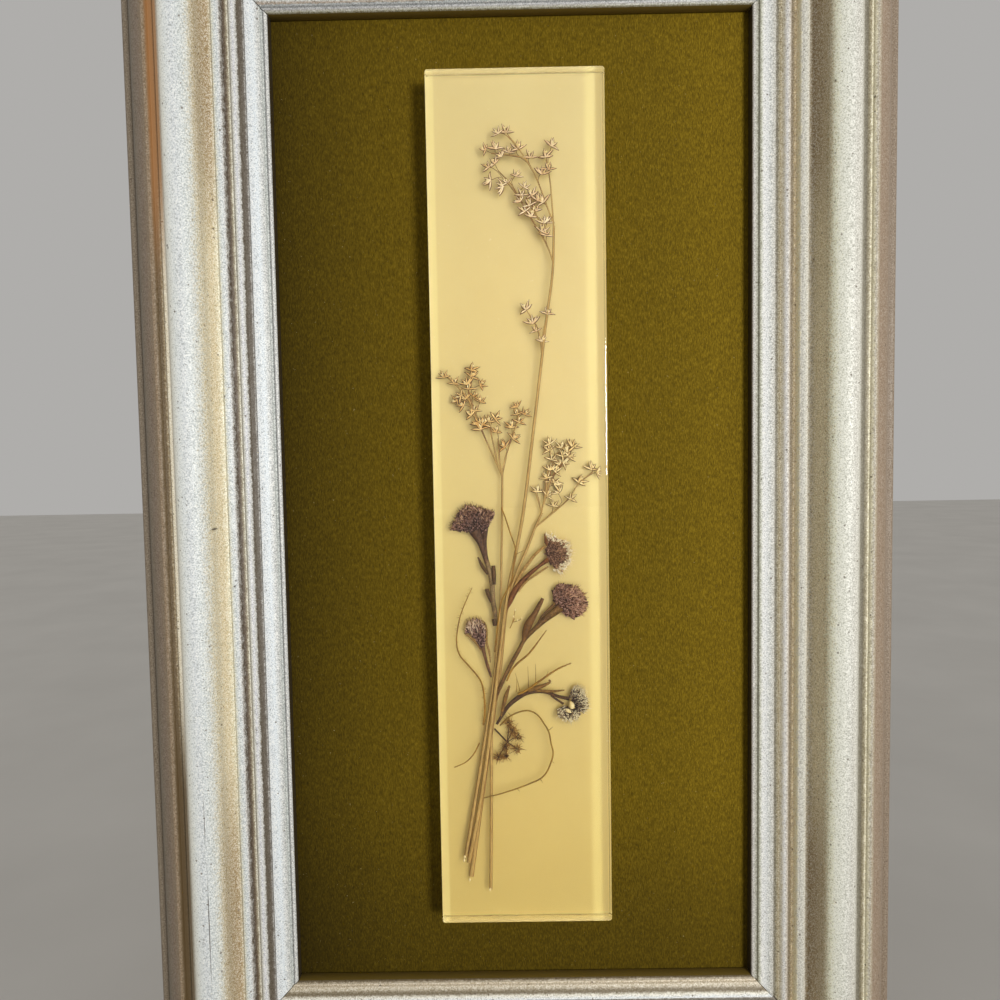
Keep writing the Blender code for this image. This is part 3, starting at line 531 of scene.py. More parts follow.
LEFT_MARKS = [
    (
        -94.05, -122.5, 0.13, 17.0
    ), (-94.3, -90.0, 0.08, 8.0), (-99.0, 78.4, 0.3, 0.3), (-98.7, 77.6, 0.2, 0.35),
    (-90.0, -3.5, 0.28, 0.28), (
        -86.2, -21.5, 0.28, 0.28
    ), (-71.9, 15.0, 0.12, 0.5), (-77.3, 8.0, 0.14, 0.25),
]
RIGHT_MARKS = [
    (88.0, 33.0, 0.22, 0.22), (81.6, 16.5, 0.2, 0.2), (74.8, 30.5, 0.2, 0.2), (79.2, 2.0, 0.22, 0.22)
]
# Heights and tones where the left shoulder's painted reflection fades into painted brown.
LEFT_SHOULDER_FADE = [(-40.0, -85.0, (84, 66, 38)), (60.0, 105.0, (150, 106, 62))]
# Tones given to the wall round the opening.
DARK_WALL_TONE = (50, 40, 20)
OLIVE_WALL_TONE = (96, 78, 24)
rails = [
    ("left", "X", opening_half_width, 0.0, left_bands, DARK_WALL_TONE, LEFT_MARKS, LEFT_SHOULDER_FADE),
    ("right", "X", opening_half_width, 0.0, right_bands, DARK_WALL_TONE, RIGHT_MARKS),
    ("top", "Z", opening_half_height, picture_centre.z, top_bands, OLIVE_WALL_TONE),
    ("bottom", "Z", opening_half_height, picture_centre.z, bottom_bands, OLIVE_WALL_TONE),
]
for side, *finish_inputs in rails:
    finish = moulding_material("silver_leaf_" + side, *finish_inputs)
    rail = refined_copy(f"frame_rail_{side}", f"{side}_rail")
    rounding = rail.modifiers.new("worn_arrises", "BEVEL")
    rounding.width = 0.12 * MM
    rounding.segments = 2
    rounding.limit_method = "ANGLE"
    rounding.angle_limit = math.radians(40)
    bpy.ops.object.modifier_apply(modifier="worn_arrises")
    bpy.ops.object.shade_smooth_by_angle(angle=math.radians(35))
    rail.data.materials.append(finish)
    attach(rail, "root")
    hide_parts(f"frame_rail_{side}")

# Velvet board: a thin board behind the opening, covered in short-piled olive velvet with its nap brushed
# upright, and a few specks of pale dust lie on it. Light from the right is painted into its colour: it is
# painted lighter towards the right and darker towards the bottom.
material, tree, shader = new_material(
    "olive_velvet", Sheen_Weight=0.05, Sheen_Roughness=0.4, Specular_IOR_Level=0.08
)
shader.inputs["Sheen Tint"].default_value = srgb(120, 100, 30)
shader.inputs["Roughness"].default_value = 0.8
place = object_place(tree)
strokes = object_place(tree, scale=(1.0, 1.0, 0.3))
nap = add_noise(tree, strokes, 2800.0, 2.0, 0.7)
tufts = add_noise(tree, object_place(tree, scale=(1.0, 1.0, 0.6)), 900.0, 3.0, 0.7)
tone = add_maths(tree, "MULTIPLY_ADD", nap, 0.72, add_maths(tree, "MULTIPLY", tufts, 0.28))
velvet_colour = add_ramp(
    tree, tone, [(0.3, srgb(72, 58, 6)), (0.5, srgb(101, 82, 11)), (0.7, srgb(130, 108, 24))]
)
split = add_node(tree, "ShaderNodeSeparateXYZ", {"Vector": place})
half_opening = opening_half_width * MM
from_left = add_node(
    tree, "ShaderNodeMapRange", {"Value": split.outputs["X"], 1: -half_opening, 2: half_opening}
).outputs[0]
# Painted light: the velvet is painted darker at the left and lighter towards the right, where the light
# falls.
light_across_stops = [(0.0, 0.34), (0.06, 0.45), (0.2, 0.68), (0.28, 0.75), (0.8, 0.86), (0.92, 1.0), (1.0, 0.98)]
brushing_and_painted_light = add_ramp(tree, from_left, [(at, (tone_at, tone_at, tone_at, 1.0)) for at, tone_at in light_across_stops])
velvet_colour = mix_colours(tree, 1.0, velvet_colour, brushing_and_painted_light, "MULTIPLY")
# Painted shade: the velvet is painted darker towards the bottom of the opening.
foot = {"Value": split.outputs["Z"], 1: opening_low.z + 6 * MM, 2: opening_low.z + 75 * MM, 3: 0.6, 4: 1.0}
painted_foot_shade = add_node(tree, "ShaderNodeMapRange", foot, interpolation_type="SMOOTHSTEP").outputs[0]
velvet_colour = mix_colours(tree, 1.0, velvet_colour, painted_foot_shade, "MULTIPLY")
dust = add_speckle(tree, place, 1500.0, 0.0)
velvet_colour = mix_colours(
    tree, add_maths(tree, "MULTIPLY", dust, 0.6), velvet_colour, srgb(206, 190, 140)
)
tree.links.new(velvet_colour, shader.inputs["Base Color"])
add_bump(tree, shader, tone, 0.0003, 0.6)
board = nodes["velvet_board"]
board.data.materials.clear()
board.data.materials.append(material)

# Back panel: a plain grey-brown board that closes the frame behind the velvet board, with pressed fibres in
# it.
material, tree, shader = new_material("grey_board", Roughness=0.9)
place = object_place(tree)
fibres = add_noise(tree, object_place(tree, scale=(1.0, 1.0, 0.2)), 900.0, 4.0, 0.65)
clouds = add_noise(tree, place, 40.0, 3.0)
tone = add_maths(tree, "MULTIPLY_ADD", fibres, 0.6, add_maths(tree, "MULTIPLY", clouds, 0.4))
board_colour = add_ramp(tree, tone, [(0.3, srgb(128, 114, 94)), (0.7, srgb(166, 150, 126))])
flecks = add_speckle(tree, place, 1100.0, 0.1)
board_colour = mix_colours(tree, add_maths(tree, "MULTIPLY", flecks, 0.5), board_colour, srgb(92, 80, 64))
tree.links.new(board_colour, shader.inputs["Base Color"])
add_bump(tree, shader, tone, 0.0001, 0.5)
panel = nodes["back_panel"]
panel.data.materials.clear()
panel.data.materials.append(material)

# Framing points, sawtooth hanger and its nails: thin zinc-plated steel, faintly brushed, with dull spots.
material, tree, shader = new_material("plated_steel", Metallic=1.0)
place = object_place(tree)
brushing_and_painted_light = add_noise(tree, object_place(tree, scale=(0.15, 1.0, 1.0)), 2400.0, 3.0)
dull = add_noise(tree, place, 260.0, 3.0)
tree.links.new(
    add_ramp(tree, dull, [(0.35, srgb(168, 168, 164)), (0.7, srgb(204, 204, 202))]),
    shader.inputs["Base Color"],
)
roughness = add_node(
    tree, "ShaderNodeMapRange", {"Value": dull, 1: 0.3, 2: 0.7, 3: 0.45, 4: 0.28}
).outputs[0]
tree.links.new(roughness, shader.inputs["Roughness"])
add_bump(tree, shader, brushing_and_painted_light, 0.00003, 0.4)
steel_names = [f"framing_point_{number}" for number in range(1, 9)]
steel_names += ["sawtooth_hanger", "hanger_nail_1", "hanger_nail_2"]
for name in steel_names:
    nodes[name].data.materials.clear()
    nodes[name].data.materials.append(material)

# Cream backing: the opaque cream-yellow layer, poured first behind the clear resin. It is a little yellower
# lower down, with faint clouds and pin-point bubbles. Light bent in at the resin's edges is painted on it: a
# paler strip inside its right edge and one along its left edge, and a tan band of painted shade at its right
# edge.
material, tree, shader = new_material("cream_resin", Roughness=0.4)
place = object_place(tree)
backing_low, backing_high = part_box("cream_backing")
split = add_node(tree, "ShaderNodeSeparateXYZ", {"Vector": place})
height_inputs = {"Value": split.outputs["Z"], 1: backing_low.z, 2: backing_high.z}
up = add_node(tree, "ShaderNodeMapRange", height_inputs).outputs[0]
cream_tones = [
    (0.0, srgb(213, 189, 108)), (0.45, srgb(223, 202, 125)), (0.7, srgb(224, 204, 134)),
    (1.0, srgb(222, 205, 143)),
]
cream = add_ramp(tree, up, cream_tones)
clouds = add_noise(tree, place, 60.0, 3.0, 0.6)
cream = mix_colours(tree, add_maths(tree, "MULTIPLY", clouds, 0.18), cream, srgb(226, 190, 110), "MULTIPLY")
# Painted light: paler strips inside the right edge and along the left edge. Painted shade: a tan band at the
# right edge.
caustic_right_inputs = {"Value": split.outputs["X"], 1: backing_high.x - 6.4 * MM, 2: backing_high.x - 4.4 * MM}
painted_light_right_strip = add_node(
    tree, "ShaderNodeMapRange", caustic_right_inputs, interpolation_type="SMOOTHSTEP"
).outputs[0]
cream = mix_colours(tree, add_maths(tree, "MULTIPLY", painted_light_right_strip, 0.25), cream, srgb(252, 240, 160))
shade_edge_inputs = {"Value": split.outputs["X"], 1: backing_high.x - 2.7 * MM, 2: backing_high.x - 2.0 * MM}
painted_shade_right_edge = add_node(tree, "ShaderNodeMapRange", shade_edge_inputs, interpolation_type="SMOOTHSTEP").outputs[0]
cream = mix_colours(tree, add_maths(tree, "MULTIPLY", painted_shade_right_edge, 0.45), cream, srgb(208, 180, 106))
caustic_left_inputs = {"Value": split.outputs["X"], 1: backing_low.x + 2.5 * MM, 2: backing_low.x + 1.7 * MM}
painted_light_left_strip = add_node(tree, "ShaderNodeMapRange", caustic_left_inputs, interpolation_type="SMOOTHSTEP").outputs[0]
cream = mix_colours(tree, add_maths(tree, "MULTIPLY", painted_light_left_strip, 0.35), cream, srgb(246, 234, 158))
bubbles = add_speckle(tree, place, 900.0, 0.02)
cream = mix_colours(tree, add_maths(tree, "MULTIPLY", bubbles, 0.25), cream, srgb(250, 240, 200))
tree.links.new(cream, shader.inputs["Base Color"])
add_bump(tree, shader, clouds, 0.0002, 0.2)
backing = nodes["cream_backing"]
backing.data.materials.clear()
backing.data.materials.append(material)

# Clear resin: one clear casting with a polished, slightly cushioned front and rounded corners, poured over
# the flowers. Its back is wetted onto the cream layer, so no air shows between the two.
resin_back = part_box("clear_resin_back")
resin_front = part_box("clear_resin_front")
resin_low = Vector(map(min, resin_back[0], resin_front[0]))
resin_high = Vector(map(max, resin_back[1], resin_front[1]))
CORNER = 0.8 * MM
ARRIS = 0.25 * MM
CUSHION_WIDTH = 0.3 * MM
CUSHION_FALL = 0.04 * MM
WETTING = 0.05 * MM
bpy.ops.object.select_all(action="DESELECT")
slab_front = resin_low.y + ARRIS + CUSHION_FALL
slab_size = (resin_high.x - resin_low.x, resin_high.y - slab_front, resin_high.z - resin_low.z)
slab_centre = (
    (resin_low.x + resin_high.x) / 2, (slab_front + resin_high.y) / 2, (resin_low.z + resin_high.z) / 2
)
bpy.ops.mesh.primitive_cube_add(size=1.0, location=slab_centre, scale=slab_size)
resin = bpy.context.object
resin.name = "clear_resin"
bpy.ops.object.transform_apply(location=True, rotation=True, scale=True)


def select_faces(piece, wanted):
    """Selects, in edit mode, the faces for which wanted(face) is true."""
    bpy.ops.object.mode_set(mode="EDIT")
    bpy.ops.mesh.select_mode(type="FACE")
    bpy.ops.mesh.select_all(action="DESELECT")
    bpy.ops.object.mode_set(mode="OBJECT")
    for face in piece.data.polygons:
        face.select = wanted(face)
    bpy.ops.object.mode_set(mode="EDIT")


bpy.ops.object.mode_set(mode="EDIT")
bpy.ops.mesh.select_mode(type="EDGE")
bpy.ops.mesh.select_all(action="DESELECT")
bpy.ops.object.mode_set(mode="OBJECT")
for edge in resin.data.edges:
    start, end = (resin.data.vertices[i].co for i in edge.vertices)
    edge.select = abs(start.y - end.y) > MM
bpy.ops.object.mode_set(mode="EDIT")
bpy.ops.mesh.bevel(offset=CORNER, segments=5)
select_faces(resin, lambda face: face.normal.y < -0.9)
bpy.ops.mesh.inset(thickness=ARRIS, depth=ARRIS)
bpy.ops.mesh.inset(thickness=CUSHION_WIDTH, depth=CUSHION_FALL)
bpy.ops.mesh.inset(thickness=0.15 * MM, depth=0.0)
select_faces(resin, lambda face: face.normal.y > 0.9)
bpy.ops.mesh.inset(thickness=0.2 * MM, depth=0.0)
reach_back = -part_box("cream_backing")[0].y - -resin_high.y
bpy.ops.mesh.extrude_region_move(TRANSFORM_OT_translate={"value": (0, -reach_back + WETTING, 0)})
bpy.ops.object.mode_set(mode="OBJECT")
rounding = resin.modifiers.new("polished_edge", "BEVEL")
rounding.width = 0.08 * MM
rounding.segments = 2
rounding.limit_method = "ANGLE"
rounding.angle_limit = math.radians(30)
bpy.ops.object.modifier_apply(modifier="polished_edge")
bpy.ops.object.shade_smooth_by_angle(angle=math.radians(40))
material, tree, shader = new_material("clear_resin", Transmission_Weight=1.0, IOR=1.5)
haze = add_noise(tree, object_place(tree), 120.0, 2.0)
tree.links.new(
    add_ramp(tree, haze, [(0.3, (0.985, 0.975, 0.93, 1)), (0.7, (0.995, 0.985, 0.95, 1))]),
    shader.inputs["Base Color"],
)
polish = add_node(tree, "ShaderNodeMapRange", {"Value": haze, 1: 0.3, 2: 0.7, 3: 0.0, 4: 0.03}).outputs[0]
tree.links.new(polish, shader.inputs["Roughness"])
resin.data.materials.append(material)
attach(resin, "root")
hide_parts("clear_resin_back", "clear_resin_front")

# Rushes: three stems of a meadow rush with loose heads of small starry florets, and one bare cut stem. Each
# stem is pale between darker edges, which are partly its ridges and partly painted shade of its rounded
# sides. A floret is a tuft of long pointed scales, brown with a pale middle, round shiny seeds. Routes are
# (x, z) in millimetres from the picture's centre.
def layer_of(node_name):
    """The height of a plant's middle above the wall side of the frame, in millimetres."""
    low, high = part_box(node_name)
    return -(low.y + high.y) / 2 / MM


def draw_strands(name, strands, layer, flatness):
    """Strands drawn as bevelled curves and made one mesh. A strand is a list of (x, z, rise, half width), in
    mm."""
    curve = bpy.data.curves.new(name, "CURVE")
    curve.dimensions = "3D"
    curve.bevel_depth = 1.0
    curve.bevel_resolution = 1
    curve.use_fill_caps = True
    curve.resolution_u = 2
    for strand in strands:
        spline = curve.splines.new("NURBS")
        spline.points.add(len(strand) - 1)
        for point, (x, z, rise, half_width) in zip(spline.points, strand):
            point.co = (x, -rise / flatness, z, 1.0)
            point.radius = half_width
        spline.order_u = 3
        spline.use_endpoint_u = True
    piece = bpy.data.objects.new(name, curve)
    bpy.context.scene.collection.objects.link(piece)
    bpy.ops.object.select_all(action="DESELECT")
    piece.select_set(True)
    bpy.context.view_layer.objects.active = piece
    bpy.ops.object.convert(target="MESH")
    piece = bpy.context.object
    piece.data.transform(Matrix.Diagonal((MM, MM * flatness, MM, 1.0)))
    piece.data.transform(Matrix.Translation((0, -layer * MM, picture_centre.z)))
    bpy.ops.object.shade_smooth()
    return piece


def join_pieces(name, parts):
    """Joins a plant's parts into one piece of its own."""
    bpy.ops.object.select_all(action="DESELECT")
    for part in parts:
        part.select_set(True)
    bpy.context.view_layer.objects.active = parts[0]
    bpy.ops.object.join()
    parts[0].name = name
    parts[0].data.name = name
    return parts[0]


def dry_plant_group():
    """Dry plant fibre: streaks of a dark and a light tone along the stems, with darker spots. Down is how
    much of it is felted with pale down, which leaves dark gaps."""
    tree = bpy.data.node_groups.new("dry_fibre", "ShaderNodeTree")
    for name, kind in (
        ("Dark", "NodeSocketColor"), ("Light", "NodeSocketColor"), ("Streaks per metre", "NodeSocketFloat")
    ):
        tree.interface.new_socket(name, in_out="INPUT", socket_type=kind)
    tree.interface.new_socket("Down", in_out="INPUT", socket_type="NodeSocketFloat")
    tree.interface.new_socket("Down colour", in_out="INPUT", socket_type="NodeSocketColor")
    tree.interface.new_socket("Color", in_out="OUTPUT", socket_type="NodeSocketColor")
    tree.interface.new_socket("Height", in_out="OUTPUT", socket_type="NodeSocketFloat")
    given = tree.nodes.new("NodeGroupInput").outputs
    result = tree.nodes.new("NodeGroupOutput")
    streaks = add_noise(
        tree, object_place(tree, scale=(1.0, 1.0, 0.16)), given["Streaks per metre"], 3.0, 0.6
    )
    patches = add_noise(tree, object_place(tree), 260.0, 2.0)
    tone = add_maths(tree, "MULTIPLY_ADD", streaks, 0.6, add_maths(tree, "MULTIPLY", patches, 0.4))
    spread = add_node(tree, "ShaderNodeMapRange", {"Value": tone, 1: 0.36, 2: 0.64}).outputs[0]
    colour = mix_colours(tree, spread, given["Dark"], given["Light"])
    felt = add_noise(tree, object_place(tree), 1650.0, 3.0, 0.75)
    gaps = add_node(
        tree, "ShaderNodeMapRange", {"Value": felt, 1: 0.49, 2: 0.43, 3: 0.0, 4: 0.85}
    ).outputs[0]
    colour = mix_colours(
        tree, add_maths(tree, "MULTIPLY", gaps, given["Down"]), colour, srgb(120, 96, 90), "MULTIPLY"
    )
    tufts = add_node(
        tree, "ShaderNodeMapRange", {"Value": felt, 1: 0.52, 2: 0.58, 3: 0.0, 4: 0.95}
    ).outputs[0]
    colour = mix_colours(
        tree, add_maths(tree, "MULTIPLY", tufts, given["Down"]), colour, given["Down colour"]
    )
    tree.links.new(colour, result.inputs["Color"])
    tree.links.new(add_maths(tree, "MULTIPLY_ADD", felt, given["Down"], streaks), result.inputs["Height"])
    return tree


dry_fibre = dry_plant_group()


def fibre_material(
    name, dark, light, streaks_per_metre=1800.0, roughness=0.7, down=0.0, down_colour=(180, 146, 132)
):
    """A dry plant material between two tones, each (red, green, blue) as seen on a screen."""
    material, tree, shader = new_material(name, Roughness=roughness)
    node = tree.nodes.new("ShaderNodeGroup")
    node.node_tree = dry_fibre
    node.inputs["Dark"].default_value = srgb(*dark)
    node.inputs["Light"].default_value = srgb(*light)
    node.inputs["Streaks per metre"].default_value = streaks_per_metre
    node.inputs["Down"].default_value = down
    node.inputs["Down colour"].default_value = srgb(*down_colour)
    tree.links.new(node.outputs["Color"], shader.inputs["Base Color"])
    add_bump(tree, shader, node.outputs["Height"], 0.00006, 0.5)
    return material


straw = fibre_material("dry_straw", (170, 136, 70), (202, 168, 98), 3000.0, 0.5)
straw_edge = fibre_material("brown_straw_edge", (104, 68, 22), (146, 102, 42), 2400.0, 0.55)
seed_material = fibre_material("cream_seed", (236, 210, 142), (255, 242, 196), 900.0, 0.2)


def model_floret(name, seed):
    """One rush floret round the origin, opening upwards: pointed scales, their pale middles, and shiny
    seeds."""
    chance = random.Random(seed)
    scales, middles, seeds = [], [], []
    count = chance.choice((4, 5, 5, 6))
    for number in range(count):
        lean = math.radians(-64 + 128 * number / (count - 1) + chance.uniform(-13, 13))
        length = chance.uniform(2.0, 3.0)
        half = chance.uniform(0.42, 0.58)
        rise = chance.uniform(-0.35, 0.35)
        curl = lean * 0.25 + chance.uniform(-0.2, 0.2)
        line = []
        for share, fullness, up in ((0.0, 0.3, 0.3), (0.3, 1.0, 0.7), (0.66, 0.8, 1.0), (1.0, 0.06, 1.2)):
            turn = lean + curl * share
            line.append((
                math.sin(turn) * length * share, math.cos(turn) * length * share - 1.3, rise * up,
                half * fullness
            ))
        scales.append(line)
        middles.append([(x, z, up + 0.2, wide * 0.5) for x, z, up, wide in line[:3]] + [
            (line[3][0] * 0.88, line[3][1] * 0.9, line[3][2] + 0.02, 0.03)
        ])
    for number in range(chance.choice((1, 2, 2))):
        x, z = chance.uniform(-0.5, 0.5), chance.uniform(-0.5, 0.3)
        seeds.append([
            (x, z - 0.4, 0.4, 0.05), (x, z - 0.2, 0.5, 0.22), (x, z + 0.2, 0.5, 0.24),
            (x, z + 0.42, 0.4, 0.05),
        ])
    parts = [
        draw_strands(f"{name}_{number}", strands, 0.0, 0.45)
        for number, strands in enumerate((scales, middles, seeds))
    ]
    for part in parts:
        part.data.materials.append(bpy.data.materials.new("unfinished"))
    floret = join_pieces(name, parts)
    floret.data.transform(Matrix.Translation((0, 0, -picture_centre.z)))
    return floret


floret_models = [model_floret(f"floret_model_{number}", number) for number in range(1, 7)]


def smooth_route(points, steps=4):
    """A smooth route of (x, z) through given points."""
    line = [Vector(point) for point in points]
    line = [2 * line[0] - line[1]] + line + [2 * line[-1] - line[-2]]
    route = []
    for before, start, end, after in zip(line, line[1:], line[2:], line[3:]):
        for step in range(steps):
            t = step / steps
            bend = (2 * before - 5 * start + 4 * end - after) * t * t
            route.append(
                start + ((end - before) * t + bend + (3 * start - before - 3 * end + after) * t**3) / 2
            )
    route.append(line[-2])
    return route


def stem_strand(points, widths, rise=0.0):
    """A stem along a smooth route, with its widths in millimetres spread evenly along it."""
    route = smooth_route(points)
    strand = []
    for number, point in enumerate(route):
        at = number / (len(route) - 1) * (len(widths) - 1)
        first = min(int(at), len(widths) - 2)
        width = widths[first] + (widths[first + 1] - widths[first]) * (at - first)
        strand.append((point.x, point.y, rise, width / 2))
    return strand


def stem_edges(strand, share=0.16, least=0.05):
    """The two thin darker edges of a flattened stem: partly its ridges, and partly painted shade where its
    rounded sides turn away.
    """
    edges = []
    for side in (-1, 1):
        edge = []
        for before, here, after in zip([strand[0]] + strand[:-1], strand, strand[1:] + [strand[-1]]):
            along = Vector((after[0] - before[0], after[1] - before[1])).normalized()
            x, z, rise, half = here
            edge.append((
                x - along.y * side * half * 0.9, z + along.x * side * half * 0.9, rise + 0.02,
                half * share + least
            ))
        edges.append(edge)
    return edges


def grow_rush(node_name, stem, stem_widths, branches, florets, tones, drops, seed):
    """A rush: its stem, its branches, a thin stalk to each floret, the florets, and resin drops at its cut
    end."""
    chance = random.Random(seed)
    layer = layer_of(node_name)
    cores = [stem_strand(stem, stem_widths)] + [stem_strand(branch, (0.44, 0.3)) for branch in branches]
    edges = stem_edges(cores[0]) + [edge for core in cores[1:] for edge in stem_edges(core, 0.1, 0.025)]
    routes = [smooth_route(branch) for branch in branches]
    husk = fibre_material(node_name + "_scales", *tones[:2], 1500.0, 0.55)
    kernel = fibre_material(node_name + "_middles", *tones[2:], 1200.0, 0.4)
    parts = []
    for number, at in enumerate(florets):
        centre = Vector(at)
        route = min(
            routes, key=lambda route: min((point - centre + Vector((0, 2.4))).length for point in route)
        )
        nearest = min(
            range(len(route)), key=lambda index: (route[index] - centre + Vector((0, 2.4))).length
        )
        aside = Vector((chance.uniform(-0.35, 0.35), 0.0))
        first, foot = route[max(0, nearest - chance.choice((3, 4, 6)))], route[nearest]
        rise = chance.uniform(-0.35, 0.35)
        middle = (foot + centre) / 2 + Vector((chance.uniform(-0.3, 0.3), chance.uniform(-0.3, 0.1)))
        stalk = [
            (first, 0.0, 0.08), (foot + aside, 0.1, 0.09), (middle, rise / 2, 0.1), (centre, rise, 0.12)
        ]
        edges.append([(point.x, point.y, up, half) for point, up, half in stalk])
        away = (centre - foot).normalized()
        turn = math.atan2(away.x, away.y) * 0.8 + chance.uniform(-0.35, 0.35)
        size = chance.uniform(0.85, 1.15)
        floret = bpy.data.objects.new(
            f"{node_name}_floret", floret_models[number % len(floret_models)].data.copy()
        )
        bpy.context.scene.collection.objects.link(floret)
        place = Matrix.Translation((centre.x * MM, -(layer + rise) * MM, picture_centre.z + centre.y * MM))
        mirrored = Matrix.Diagonal((chance.choice((-size, size)), size, size, 1.0))
        floret.data.transform(place @ Matrix.Rotation(turn, 4, "Y") @ mirrored)
        if mirrored[0][0] < 0:
            floret.data.flip_normals()
        for slot, finish in enumerate((husk, kernel, seed_material)):
            floret.data.materials[slot] = finish
        parts.append(floret)
    for number, (strands, finish) in enumerate(((cores, straw), (edges, straw_edge))):
        drawn = draw_strands(f"{node_name}_stems_{number}", strands, layer, 0.6)
        drawn.data.materials.append(finish)
        parts.append(drawn)
    ends = draw_strands(node_name + "_drops", [drop_strand(x, z) for x, z in drops], layer, 0.8)
    ends.data.materials.append(seed_material)
    rush = join_pieces("visual_" + node_name, parts + [ends])
    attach(rush, "root")
    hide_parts(node_name)


def drop_strand(x, z):
    """A small drop of clear sap that has set at a cut end."""
    return [
        (x, z + 0.5, 0.2, 0.08), (x, z + 0.2, 0.3, 0.34), (x - 0.1, z - 0.25, 0.3, 0.36),
        (x - 0.1, z - 0.6, 0.2, 0.1),
    ]


tall_stem = [(12, 84), (11.5, 70.5), (9.5, 57), (7, 38), (5, 23), (1.5, -2), (-3, -23), (-5, -36)]
tall_stem += [(-8.5, -62), (-12.5, -88), (-16.6, -108)]
tall_branches = [
    [(12, 83), (11.5, 91.5), (11, 97.5), (10, 103)],
    [(12, 84.5), (10.5, 88.5), (8, 95.5), (5.5, 101), (1.5, 107), (-1, 110)],
    [(11.5, 74), (10.5, 77), (8, 82), (4.5, 87.5), (0.5, 95), (-4, 100)],
    [(6, 100), (3.5, 103.5), (-1, 104.5), (-6, 105)],
    [(9.5, 82), (7.5, 86), (5.5, 90)],
    [(8, 46.5), (7.5, 52), (6, 56), (4, 59)],
    [(8, 46.5), (8.3, 52), (9.3, 57)],
]
tall_florets = [
    (-4.5, 111.5), (-1.5, 112.3), (-8.5, 106.5), (-5, 107.5), (-3.8, 105), (-0.6, 106.2), (1.5, 107.5)
]
tall_florets += [
    (-7.5, 102), (-5.5, 103), (-7.5, 97), (-4, 95.5), (-2, 97.5), (1.5, 99.5), (5.5, 105), (10, 105)
]
tall_florets += [
    (12, 108), (9, 100), (10.8, 101.3), (4, 96), (2.8, 94), (5.4, 94), (7.5, 92.5), (1.8, 92), (4.5, 91)
]
tall_florets += [(6.5, 89.5), (3, 89.3), (5.5, 88), (8.5, 92), (9, 86), (10.3, 86), (9, 83.5), (10, 82.3)]
tall_florets += [(3, 61), (9.8, 59.5), (5, 57), (6.2, 54.5), (8.2, 51.5)]
tall_tones = ((92, 56, 26), (146, 100, 56), (224, 184, 130), (255, 240, 204))
grow_rush("tall_rush", tall_stem, (0.55, 0.75, 0.95, 1.2), tall_branches, tall_florets, tall_tones, [], 11)

left_stem = [
    (-4.3, 12), (-4.5, 3.5), (-5, -14.5), (-5.7, -30), (-7.5, -48), (-11, -70), (-14.5, -90),
    (-17.5, -106.5),
]
left_branches = [
    [(-4.3, 10.5), (-6, 14.5), (-9, 21.5), (-12, 28.5), (-14, 35), (-13.5, 40)],
    [(-12, 30), (-15, 35), (-18.5, 39), (-21, 41)],
    [(-4.3, 10.5), (-3.7, 15), (-1.5, 21.5), (0.5, 27.5), (1, 30.5)],
    [(-5.4, 13.2), (-6.8, 20), (-8, 26)],
    [(-4.5, 11.5), (-5.2, 16), (-5.5, 22)],
]
left_florets = [
    (-21.5, 41.5), (-18.2, 39.6), (-12.5, 43.5), (-12.3, 41.3), (-14.8, 39.5), (-14, 38), (-9.5, 38.5)
]
left_florets += [
    (-17.5, 35), (-18.5, 33.5), (-16.6, 32.3), (-15.3, 35), (-12, 35.5), (-10.3, 34), (-12, 31.5), (-14, 30)
]
left_florets += [
    (-11, 26), (-11.5, 27.7), (-9.5, 27.5), (-7.9, 28.2), (-5, 28.5), (-6, 25), (-4, 20.5), (0, 32.2)
]
left_florets += [(0, 30), (3.1, 30), (1.5, 27.8), (-1.5, 26.5), (0, 22.5)]
left_tones = ((74, 40, 12), (122, 76, 32), (212, 162, 84), (250, 222, 156))
left_ends = [(-17.8, -106.3), (-18, -107.4)]
grow_rush("left_rush", left_stem, (0.5, 0.6, 1.2), left_branches, left_florets, left_tones, left_ends, 12)

right_stem = [
    (7.5, -0.5), (5.5, -4.5), (2.5, -12), (-1, -20), (-4, -31), (-6, -48), (-9.5, -70), (-16, -113)
]
right_branches = [
    [(7, -1.5), (8.5, 5), (9.5, 12.5), (13, 18), (16.5, 20)],
    [(5.5, -4.8), (9, -2), (15.5, 3.5), (18.5, 8), (23, 11.5)],
    [(7.3, 0), (5.5, 6)],
    [(8.6, 6), (11.5, 12), (16, 16.5)],
    [(8, 2), (10, 9), (10.2, 14)],
]
right_florets = [
    (9.5, 21.2), (9.2, 19.3), (13.5, 20), (15, 19), (17.5, 20.2), (14, 17.5), (16.6, 17), (11, 16.5)
]
right_florets += [
    (13, 15), (15, 15), (10, 13.5), (12.5, 12.5), (8.8, 11), (10.3, 9.8), (6, 7), (12.6, 8.2), (11.9, 6.3)
]
right_florets += [(10, 5.3), (11, 2.5), (16.5, 4.5), (19.5, 9.5), (22.5, 13.5), (25, 11.2)]
right_tones = ((92, 56, 18), (142, 100, 46), (236, 200, 126), (255, 242, 190))
grow_rush(
    "right_rush", right_stem, (0.55, 0.8, 1.3), right_branches, right_florets, right_tones,
    [(-16.4, -113.9)], 13,
)

straw_core = stem_strand([(-9, -68.5), (-9.3, -85), (-9.6, -101), (-10, -117)], (0.85, 0.85))
straw_parts = []
for strands, finish in (
    ([straw_core], straw), (stem_edges(straw_core), straw_edge),
    ([drop_strand(-10.1, -116.8)], seed_material),
):
    drawn = draw_strands("straw_part", strands, layer_of("straw_stem"), 0.6)
    drawn.data.materials.append(finish)
    straw_parts.append(drawn)
cut_stem = join_pieces("visual_straw_stem", straw_parts)
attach(cut_stem, "root")
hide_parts("straw_stem")
for model in floret_models:
    bpy.data.objects.remove(model, do_unlink=True)

